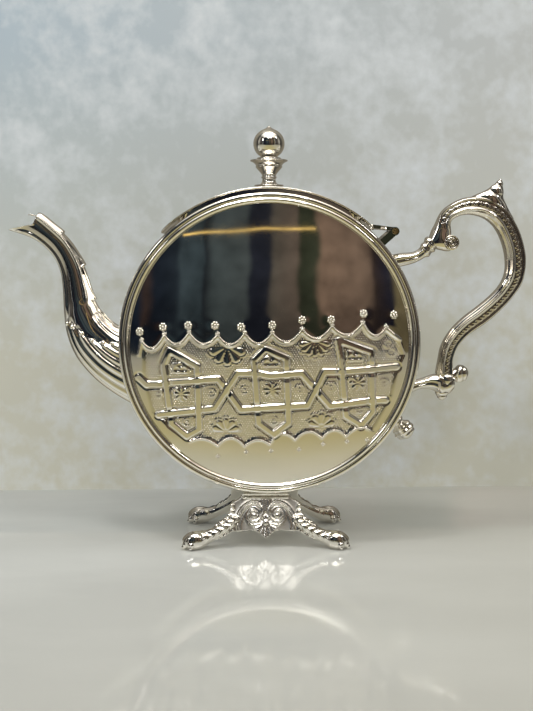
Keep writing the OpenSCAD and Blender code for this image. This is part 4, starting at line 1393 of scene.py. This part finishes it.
class TEAPOT_OT_handle(bpy.types.Operator):
    """Cast the scroll handle: two arms, the grip, its ear and volute"""

    bl_idname = "teapot.handle"
    bl_label = "Handle"

    def execute(self, context):
        pieces = {
            "handle_upper_arm": [limb(UPPER_ARM, 60, 40, arm_relief)],
            "handle_grip": [limb(GRIP, 560, 84, grip_relief, 2.6), limb(UPPER_EAR, 48, 40, leafy_relief),
                            roll_disc(VOLUTE_MIDDLE, VOLUTE_R, VOLUTE_HALF)],
            "handle_lower_arm": [limb(LOWER_ARM, 60, 40, arm_relief), limb(LOWER_EAR, 40, 32, leafy_relief),
                                 limb(LEAF_TIP, 40, 32, leafy_relief), limb(KNUCKLE, 24, 32)],
        }
        for name, parts in pieces.items():
            place_cast(name, *join_parts(parts))
        return {"FINISHED"}


# ---------- leaf drop and feet ----------


# The bud, as [radius, height] from its root inside the drum to its tip.
DROP_PROFILE = [
    [2.4, -9], [2.5, -4], [3, 0], [4.2, 2], [3.2, 3.8], [5.2, 6.4], [6, 9.4], [5.2, 12.2], [2.6, 14.6],
    [0.6, 15.4]]


class TEAPOT_OT_leaf_drop(bpy.types.Operator):
    """Cast the small leaf bud under the handle"""

    bl_idname = "teapot.leaf_drop"
    bl_label = "Leaf drop"

    def execute(self, context):
        angle = np.linspace(0, 2 * math.pi, 72, endpoint=False)
        profile = smooth_rows(DROP_PROFILE, 60)
        r, h = profile[:, :1], profile[:, 1:]
        root, tip = DROP_PROFILE[0][1], DROP_PROFILE[-1][1]
        leafy = smoothstep(3.6, 5.6, h) * smoothstep(tip, tip - 2, h)
        r = r + leafy * (0.9 * np.abs(np.cos(2.5 * angle)) + 0.35 * np.sin(h * 2.1) - 0.1)
        grid = np.stack([r * np.cos(angle), r * np.sin(angle), h + 0 * angle], -1)
        points, faces = capped_tube(grid, [0, 0, root], [0, 0, tip])
        hang, lean = math.radians(20), math.radians(122)
        x = points[:, 0] * math.cos(hang) + (points[:, 2] - 2.4) * math.sin(hang)
        z = -points[:, 0] * math.sin(hang) + (points[:, 2] - 2.4) * math.cos(hang) + BAND_R + 7.6
        points = np.stack([x * math.cos(lean) + z * math.sin(lean), points[:, 1],
                           -x * math.sin(lean) + z * math.cos(lean)], -1)
        place_cast("leaf_drop", points, faces, [])
        return {"FINISHED"}


FOOT_X = -2.4
LEAN = math.tan(math.radians(20))
PAW_Y = 31.0
APRON = [(0, 41.5), (13, 41.5), (13.4, 31.9), (16, 28.3), (21.2, 25.5), (21.8, 20.5), (24.4, 17.4), (30, 14),
         (34, 9), (30, 5), (24, 7.6), (20, 9.9), (14.6, 10.1), (9, 10.7), (5, 9.6), (0, 5.9)]
# The leg and its paw, as [x, z, radius] from the apron outwards.
LEG = [[19, 16.5, 3.0], [23.4, 12.8, 3.6], [29, 9.6, 3.7], [35, 7.0, 4.0], [39.5, 5.6, 4.9], [43, 5.0, 5.6],
       [45.6, 4.6, 4.4]]
PAW_X = 43.6
# The toes and the claws of a paw: how far they stand from its middle, in x and y, their height and radius.
TOES, CLAWS = (4.6, 4.5, 3.4, 2.2), (6.3, 5.6, 1.9, 1.2)
# The furthest that the casting may stand out, so that it stays within the solid.
FOOT_LIMIT = 37.75

# The C-scroll on each side of an apron, from the leg up, over and into its eye.
SCROLL = [(16.6, 8.6), (17, 15.4), (12.9, 23), (6.4, 25.9), (1.9, 22.4), (3, 17.6), (7, 15.4), (10, 18.4),
          (8.4, 21.8), (6, 20.6)]
SCROLL_EYE = (7, 19)
# The palmette's leaves: root, reach, the way they face and their spread in degrees, and how many lobes.
PALMETTE = [((0, 16.6), 11.4, -90, 46, 5), ((0, 15), 8.6, -168, 26, 3), ((0, 15), 8.6, -12, 26, 3),
            ((0, 15), 5, 90, 40, 3)]


def leaf_lobes(x, z, root, reach, facing, spread, count):
    """A fan of rounded lobes that spreads from its root; facing and spread are in degrees."""
    rho = np.hypot(x - root[0], z - root[1])
    turn = (np.degrees(np.arctan2(z - root[1], x - root[0])) - facing + 180) % 360 - 180
    part = np.abs((turn / spread * count / 2 + (0.5 if count % 2 else 0)) % 1 - 0.5) * 2
    end = smoothstep(reach, reach - 1.1, rho * (1 + 0.14 * part**2))
    inside = smoothstep(spread + 4, spread - 4, np.abs(turn)) * end
    return inside * (1 - 0.75 * part**3) * (0.5 + 0.5 * rho / reach)


def apron_relief(x, z):
    """Scrolls, the palmette, the top moulding and the leaves on the outer face of an apron."""
    ax = np.abs(x)
    scroll = line_distance(ax, z, smooth_rows(SCROLL, 80))
    height = 1.4 * hump(scroll, 0, 0.8) + 0.5 * hump(scroll, 2.1, 0.6)
    eye = np.hypot(ax - SCROLL_EYE[0], z - SCROLL_EYE[1])
    height = np.maximum(height, 1.7 * np.sqrt(np.clip(1 - (eye / 1.7) ** 2, 0, 1)))
    for level, width, up in ((31.4, 0.9, 1.5), (29.2, 0.6, 1.1)):
        height = np.maximum(height, up * hump(z, level, width) * smoothstep(14.6, 13.6, ax))
    flutes = (0.4 + 0.6 * np.abs(np.cos(ax * 1.9))) * smoothstep(3.8, 3, ax)
    height = np.maximum(height, flutes * smoothstep(20, 21.5, z) * smoothstep(29, 28, z))
    for leaf in PALMETTE:
        height = np.maximum(height, 1.5 * leaf_lobes(x, z, *leaf))
    height = np.maximum(height, 1.8 * np.sqrt(np.clip(1 - (np.hypot(x, z - 15) / 2) ** 2, 0, 1)))
    along, across = (ax - 17) * 0.9 - (z - 16) * 0.43, (ax - 17) * 0.43 + (z - 16) * 0.9
    leaves = np.abs(np.sin(along * 0.75 - 0.8 * np.abs(across))) * smoothstep(18, 20, ax)
    midrib = hump(across, 0, 0.7) * smoothstep(18, 20, ax)
    return np.maximum(height, np.maximum(1.1 * leaves, 0.9 * midrib))


class TEAPOT_OT_feet(bpy.types.Operator):
    """Cast the two aprons that stand as feet, with scrolls, a shell and paws"""

    bl_idname = "teapot.feet"
    bl_label = "Feet"

    def execute(self, context):
        half = np.array(APRON)
        outline = even_loop(np.vstack([half, (half[1:-1] * [-1, 1])[::-1]]), 420)

        def slope(x, z, out):
            y = PAW_Y - z * LEAN
            return np.stack([x + FOOT_X, -(y + out / math.cos(math.atan(LEAN))), z + 0 * x], -1)

        n = len(outline)
        bm = bmesh.new()
        plates = [slope(outline[:, 0], outline[:, 1], out) for out in (1.5, -1.5)]
        verts = [bm.verts.new(p * MM) for plate in plates for p in plate]
        bm.faces.new(verts[:n])
        bm.faces.new(verts[n:][::-1])
        for i in range(n):
            k = (i + 1) % n
            bm.faces.new([verts[n + i], verts[n + k], verts[k], verts[i]])

        def ball(place, radius):
            made = bmesh.ops.create_uvsphere(bm, u_segments=20, v_segments=12, radius=radius * MM)
            bmesh.ops.translate(bm, verts=made["verts"], vec=[float(c) * MM for c in place])

        spine = smooth_rows(LEG, 60)
        for s in (-1, 1):
            base = slope(spine[:, 0] * s, spine[:, 1], 0.6)
            base[:, 1] = np.where(spine[:, 0] > 40, -PAW_Y + (spine[:, 1] - 5) * LEAN * 0.3 - 0.4, base[:, 1])
            base[:, 1] = np.convolve(np.pad(base[:, 1], 4, mode="edge"), np.ones(9) / 9, "valid")
            for p, r in zip(base, spine[:, 2]):
                ball(p, r)
            for turn in np.radians([-78, -28, 22, 72]):
                for along, aside, up, radius in (TOES, CLAWS):
                    x = s * (PAW_X + along * math.cos(turn)) + FOOT_X
                    ball([x, -PAW_Y + aside * math.sin(turn), up], radius)
        bmesh.ops.recalc_face_normals(bm, faces=bm.faces)
        rough = bpy.data.meshes.new("foot_rough")
        bm.to_mesh(rough)
        bm.free()
        carrier = bpy.data.objects.new("foot_rough", rough)
        context.scene.collection.objects.link(carrier)
        melt = carrier.modifiers.new("melt", "REMESH")
        melt.mode = "VOXEL"
        melt.voxel_size = 0.42 * MM
        context.view_layer.update()
        mesh = bpy.data.meshes.new_from_object(carrier.evaluated_get(context.evaluated_depsgraph_get()))
        bpy.data.objects.remove(carrier)
        points, normals = np.empty((2, len(mesh.vertices) * 3))
        mesh.vertices.foreach_get("co", points)
        mesh.vertex_normals.foreach_get("vector", normals)
        points, normals = points.reshape(-1, 3) / MM, normals.reshape(-1, 3)
        out = np.array([0, -math.cos(math.atan(LEAN)), math.sin(math.atan(LEAN))])
        facing = smoothstep(0.55, 0.9, normals @ out)
        x, z = points[:, 0] - FOOT_X, points[:, 2]
        height = apron_relief(x, z)
        paw = smoothstep(36, 39, np.abs(x))
        toes = 0.35 * np.abs(np.cos((points[:, 1] + PAW_Y) * 0.8)) * paw * (normals[:, 2] > -0.4)
        points = points + normals * (height * facing * (1 - paw) * 0.8 + toes)[:, None]
        points[:, 1] = np.maximum(points[:, 1], -FOOT_LIMIT)
        points[:, 2] = np.maximum(points[:, 2], 0)
        drum = np.hypot(points[:, 0], points[:, 2] - DRUM_Z)
        inside = (drum < BAND_R + 0.05) & (np.abs(points[:, 1]) < 26)
        scale = np.where(inside, (BAND_R + 0.05) / drum, 1)
        points[:, 0] *= scale
        points[:, 2] = DRUM_Z + (points[:, 2] - DRUM_Z) * scale
        skin = facing * (1 - paw)
        ground = np.clip(1 - height / 0.8, 0, 1) * skin
        matt = skin * np.maximum(ground, 0.3 + 0.4 * smoothstep(19, 16, np.abs(x)))
        mesh.vertices.foreach_set("co", (points * MM).ravel())
        mesh.update()
        for name, side in (("front_foot", 1), ("rear_foot", -1)):
            one = mesh.copy()
            one.name = name + "_cast"
            if side < 0:
                one.vertices.foreach_set("co", (points * [1, -1, 1] * MM).ravel())
                one.flip_normals()
            # The low ground between the relief is darkened a little: oxide in the hollows and painted shade.
            set_attribute(one, "recess", 0.12 * ground)
            set_attribute(one, "stipple", matt)
            finish_piece(one, "pot", material("cast_silver"), "cast_silver", name)
        return {"FINISHED"}


# ---------- stage ----------


def stage_plane(name, corners, paint):
    mesh = bpy.data.meshes.new(name)
    mesh.from_pydata(corners, [], [(0, 1, 2, 3)])
    mesh.materials.append(paint)
    plane = bpy.data.objects.new(name, mesh)
    bpy.context.scene.collection.objects.link(plane)
    return plane


# The room's tones run from one side to the other over this half width, in metres.
ROOM_HALF = 1.4


def room_paint(name, stops, strength=1.0):
    """Glowing paint whose tone changes along X, a little warped, and is darker low down and high up."""
    paint = Shader(name)
    nodes, links = paint.tree.nodes, paint.tree.links
    nodes.remove(paint.surface)
    split = paint.node("ShaderNodeSeparateXYZ", (0, paint.place)).outputs
    bend = paint.noise(0.5, 3)
    across = paint.plus(split[0], paint.times(paint.math("SUBTRACT", bend, 0.5), 0.2))
    ramp = paint.node("ShaderNodeValToRGB", (0, paint.span(across, 0, 1, -ROOM_HALF, ROOM_HALF)))
    elements = ramp.color_ramp.elements
    while len(elements) < len(stops):
        elements.new(0.5)
    for element, (x, colour) in zip(elements, stops):
        element.position = (x + ROOM_HALF) / (2 * ROOM_HALF)
        element.color = (*colour, 1)
    fade = paint.times(paint.span(split[2], 1.15, 0.75, 0.1, 1.3),
                       paint.span(split[2], 0.5, 1.0, 0.15, 0.5))
    dapple = paint.times(fade, paint.span(paint.noise(0.16, 4), 0.7, 1.3, 0.3, 0.7))
    glow = nodes.new("ShaderNodeEmission")
    links.new(ramp.outputs[0], glow.inputs["Color"])
    links.new(paint.times(dapple, strength), glow.inputs["Strength"])
    links.new(glow.outputs[0], nodes["Material Output"].inputs["Surface"])
    return paint.material


def hide_from_camera(card):
    """Leaves a card of the room to be seen in the silver only."""
    card.visible_camera = card.visible_diffuse = card.visible_shadow = card.visible_transmission = False
    return card


def area_lamp(name, place, aim, size, power):
    lamp = bpy.data.lights.new(name, "AREA")
    lamp.shape = "RECTANGLE"
    lamp.size, lamp.size_y = size
    lamp.energy = power
    holder = bpy.data.objects.new(name, lamp)
    holder.location = place
    direction = Vector(aim) - Vector(place)
    holder.rotation_euler = direction.to_track_quat("-Z", "Y").to_euler()
    bpy.context.scene.collection.objects.link(holder)
    return holder


ROOM_TONES = [
    (-1.35, (0.010, 0.014, 0.020)), (-0.98, (0.012, 0.018, 0.030)), (-0.93, (0.045, 0.030, 0.026)),
    (-0.86, (0.010, 0.014, 0.022)), (-0.66, (0.016, 0.022, 0.030)), (-0.62, (0.040, 0.056, 0.066)),
    (-0.46, (0.034, 0.048, 0.056)), (-0.44, (0.012, 0.014, 0.018)), (-0.38, (0.055, 0.070, 0.074)),
    (-0.14, (0.055, 0.066, 0.068)), (-0.10, (0.014, 0.016, 0.024)), (0.02, (0.016, 0.018, 0.026)),
    (0.06, (0.080, 0.070, 0.058)), (0.24, (0.110, 0.085, 0.068)), (0.27, (0.030, 0.035, 0.022)),
    (0.38, (0.035, 0.040, 0.026)), (0.42, (0.185, 0.125, 0.090)), (0.74, (0.150, 0.105, 0.078)),
    (0.80, (0.030, 0.022, 0.020)), (0.98, (0.012, 0.014, 0.026)), (1.04, (0.170, 0.140, 0.075)),
    (1.35, (0.150, 0.125, 0.080))]
SIDE_TONES = [
    (-1.3, (0.05, 0.045, 0.04)), (-0.5, (0.12, 0.11, 0.10)), (-0.42, (0.38, 0.365, 0.33)),
    (-0.12, (0.42, 0.405, 0.36)), (-0.05, (0.06, 0.055, 0.05)), (0.5, (0.10, 0.09, 0.08)),
    (1.3, (0.04, 0.04, 0.04))]
CEILING_TONES = [
    (-1.4, (0.10, 0.10, 0.10)), (-0.65, (0.35, 0.34, 0.32)), (-0.4, (1.0, 1.0, 0.96)),
    (0.35, (1.0, 0.98, 0.93)), (0.6, (0.4, 0.37, 0.33)), (1.4, (0.12, 0.11, 0.10))]
RAIL_TONES = [(-1.4, (0.9, 0.62, 0.2)), (1.4, (0.9, 0.62, 0.2))]

# Each lamp: its place, what it aims at, its size and its power.
LAMPS = {
    "top_lamp": ((-0.35, -0.35, 1.5), (0, 0, 0.1), (0.34, 0.2), 4.5),
    "left_lamp": ((-1.2, -1.0, 1.0), (0, 0, 0.12), (0.16, 0.3), 1.6),
    "right_lamp": ((1.1, -0.5, 1.25), (0, 0, 0.12), (0.14, 0.26), 1.2),
    "window_lamp": ((-0.12, -1.20, 1.36), (0, 0, 0.15), (0.16, 0.2), 1.3),
    "small_lamp": ((0.34, -1.20, 1.30), (0, 0, 0.15), (0.08, 0.08), 0.4),
}


class TEAPOT_OT_stage(bpy.types.Operator):
    """Set the table, the wall, the dark room that the silver mirrors, the lamps and the camera"""

    bl_idname = "teapot.stage"
    bl_label = "Stage"

    def execute(self, context):
        self.make_floor(context.scene.teapot_stage)
        self.make_wall(context.scene.teapot_stage)
        self.make_room()
        self.make_light(context)
        self.make_camera(context)
        return {"FINISHED"}

    def make_floor(self, s):
        """Polished stone, with painted shade towards the right; in the silver it is warmer, and it ends where
        the table does.
        """
        floor = Shader("stone_floor")
        tree = floor.tree
        path = floor.node("ShaderNodeLightPath").outputs
        right, forward = floor.node("ShaderNodeSeparateXYZ", (0, floor.place)).outputs[:2]
        far = floor.math("ABSOLUTE", forward)
        veins = floor.noise(0.10, 6, (0.35, 1, 1))
        stone = floor.blend(floor.span(veins, 0, 1, 0.38, 0.62), [c * 0.95 for c in s.floor_colour],
                            [min(1, c * 1.12) for c in s.floor_colour])
        # Painted shade: the floor turns darker and warmer towards the right.
        right_painted_shade = [c * k for c, k in zip(s.floor_colour, (0.93, 0.89, 0.80))]
        stone = floor.blend(floor.span(right, 0, 0.7, -0.1, 0.25), stone, right_painted_shade)
        near_tone = [c * k for c, k in zip(s.floor_colour, (0.73, 0.69, 0.63))]
        stone = floor.blend(floor.span(forward, 0.75, 0, -0.34, -0.06), stone, near_tone)
        warm = floor.times(floor.span(far, 0, 1, 0.05, 0.15), path["Is Glossy Ray"])
        warm = floor.times(warm, floor.span(floor.math("ABSOLUTE", right), 1, 0.35, 0.16, 0.45))
        floor.link("Base Color", floor.blend(warm, stone, s.cloth_colour))
        floor.link("Roughness", floor.span(veins, 0.05, 0.11, 0.3, 0.7))
        mix = floor.node("ShaderNodeMixShader")
        beyond = floor.math("GREATER_THAN", far, s.table_reach)
        tree.links.new(floor.times(beyond, path["Is Glossy Ray"]), mix.inputs[0])
        tree.links.new(floor.surface.outputs[0], mix.inputs[1])
        tree.links.new(floor.node("ShaderNodeBsdfTransparent").outputs[0], mix.inputs[2])
        tree.links.new(mix.outputs[0], tree.nodes["Material Output"].inputs["Surface"])
        stage_plane("stage_floor", [(-4, -4, 0), (4, -4, 0), (4, 4, 0), (-4, 4, 0)], floor.material)

    def make_wall(self, s):
        """Mottled plaster with painted cool light at the top and a painted shadow low at the right; clear
        from behind and to the rear disc, so the pot can be seen from all sides.
        """
        wall = Shader("plaster_wall")
        tree = wall.tree
        split = wall.node("ShaderNodeSeparateXYZ", (0, wall.place)).outputs
        mottle = wall.plus(wall.times(wall.noise(0.05, 8), 0.65),
                           wall.times(wall.noise(0.009, 4), 0.35))
        # Painted light: above the pot the wall turns to a cool grey, blue at the left.
        painted_cool_light = wall.blend(wall.span(split[0], 0, 1, -0.2, 0.2), (0.455, 0.53, 0.575), (0.56, 0.565, 0.54))
        tone = wall.blend(wall.span(split[2], 0, 1, 0.10, 0.33), s.wall_colour, painted_cool_light)
        plaster = wall.blend(wall.span(mottle, 0, 1, 0.44, 0.68), tone, (0.72, 0.74, 0.74))
        # Painted shadow: a mottled darker patch low on the right of the wall.
        low_right = wall.times(wall.span(split[0], 0.3, 1, -0.1, 0.2),
                               wall.span(split[2], 1, 0.5, 0.06, 0.2))
        painted_shadow = wall.times(wall.noise(0.11, 5), low_right)
        plaster = wall.blend(wall.span(painted_shadow, 0, 0.6, 0.34, 0.6), plaster, [c * 0.78 for c in s.wall_colour])
        aside = wall.span(wall.math("ABSOLUTE", split[0]), 0, 1, 0.16, 0.55)
        mirrored = wall.blend(aside, (0.26, 0.23, 0.175), (0.03, 0.027, 0.022))
        wall.link("Roughness", 0.6)
        path = wall.node("ShaderNodeLightPath").outputs
        wall.link("Base Color", wall.blend(path["Is Glossy Ray"], plaster, mirrored))
        near = wall.times(wall.math("LESS_THAN", path["Ray Length"], 0.128), path["Is Glossy Ray"])
        back = wall.node("ShaderNodeNewGeometry").outputs["Backfacing"]
        mix = wall.node("ShaderNodeMixShader")
        tree.links.new(wall.math("MAXIMUM", near, back), mix.inputs[0])
        tree.links.new(wall.surface.outputs[0], mix.inputs[1])
        tree.links.new(wall.node("ShaderNodeBsdfTransparent").outputs[0], mix.inputs[2])
        tree.links.new(mix.outputs[0], tree.nodes["Material Output"].inputs["Surface"])
        y, lean = s.wall_distance, 0.02
        stage_plane("stage_wall", [(-2, y - 2 * lean, 0), (2, y + 2 * lean, 0), (2, y + 2 * lean, 2),
                                   (-2, y - 2 * lean, 2)], wall.material)

    def make_room(self):
        """The room beyond the table, in front and behind, at the sides and overhead."""
        panels = room_paint("room_tones", ROOM_TONES)
        sides = room_paint("side_tones", SIDE_TONES)
        over = room_paint("ceiling_tones", CEILING_TONES, 6.5)
        rail = room_paint("rail_tone", RAIL_TONES, 1.2)
        wide, low, high = 1.45, -0.35, 1.9

        def upright(y):
            return [(-wide, y, low), (wide, y, low), (wide, y, high), (-wide, y, high)]

        strip = [(-0.60, -1.4, 0.790), (0.36, -1.4, 0.815), (0.36, -1.4, 0.832), (-0.60, -1.4, 0.806)]
        for label, sign in (("front", 1), ("rear", -1)):
            for name, points, paint in (("room", upright(-wide), panels), ("rail", strip, rail)):
                turned = [(x * sign, y * sign, z) for x, y, z in points]
                hide_from_camera(stage_plane(f"{name}_{label}", turned, paint))
        for label, x in (("left", -1.5), ("right", 1.5)):
            card = hide_from_camera(stage_plane(f"side_{label}", upright(0), sides))
            card.rotation_euler = (0, 0, math.pi / 2)
            card.location = (x, 0, 0)
        ceiling = [(-1.5, -wide, high), (1.5, -wide, high), (1.5, wide, high), (-1.5, wide, high)]
        hide_from_camera(stage_plane("ceiling", ceiling, over))

    def make_light(self, context):
        world = context.scene.world or bpy.data.worlds.new("studio")
        context.scene.world = world
        world.use_nodes = True
        background = world.node_tree.nodes["Background"]
        background.inputs["Color"].default_value = (0.80, 0.83, 0.86, 1)
        background.inputs["Strength"].default_value = 1.04
        for name, lamp in LAMPS.items():
            area_lamp(name, *lamp)

    def make_camera(self, context):
        data = bpy.data.cameras.new("camera")
        data.sensor_fit = "AUTO"
        data.sensor_width = 36
        data.lens = context.scene.teapot_stage.camera_lens
        data.clip_start, data.clip_end = 0.01, 20
        camera = bpy.data.objects.new("camera", data)
        camera.location = VIEW_PLACE * MM
        camera.rotation_euler = (math.pi / 2 - VIEW_TILT, 0, -VIEW_TURN)
        context.scene.collection.objects.link(camera)
        context.scene.camera = camera
        context.scene.view_settings.view_transform = "Standard"


OPERATORS = (TEAPOT_OT_discs, TEAPOT_OT_beadwork, TEAPOT_OT_rims, TEAPOT_OT_lid, TEAPOT_OT_small_parts,
             TEAPOT_OT_finial, TEAPOT_OT_spout, TEAPOT_OT_handle, TEAPOT_OT_leaf_drop, TEAPOT_OT_feet,
             TEAPOT_OT_stage)


class TEAPOT_PT_panel(bpy.types.Panel):
    """Lists the pieces of the teapot and their settings"""

    bl_label = "Silver Drum Teapot"
    bl_idname = "TEAPOT_PT_panel"
    bl_space_type = "VIEW_3D"
    bl_region_type = "UI"
    bl_category = "Teapot"

    def draw(self, context):
        for operator in OPERATORS:
            self.layout.operator(operator.bl_idname)
        for name, group in SETTINGS.items():
            box = self.layout.box()
            for key in group.__annotations__:
                box.prop(getattr(context.scene, name), key)


CLASSES = (*SETTINGS.values(), *OPERATORS, TEAPOT_PT_panel)


def register():
    for item in CLASSES:
        bpy.utils.register_class(item)
    for name, group in SETTINGS.items():
        setattr(bpy.types.Scene, name, bpy.props.PointerProperty(type=group))


def unregister():
    for name in SETTINGS:
        delattr(bpy.types.Scene, name)
    for item in reversed(CLASSES):
        bpy.utils.unregister_class(item)


def main():
    register()
    for operator in OPERATORS:
        group, name = operator.bl_idname.split(".")
        getattr(getattr(bpy.ops, group), name)()


if __name__ == "__main__":
    main()
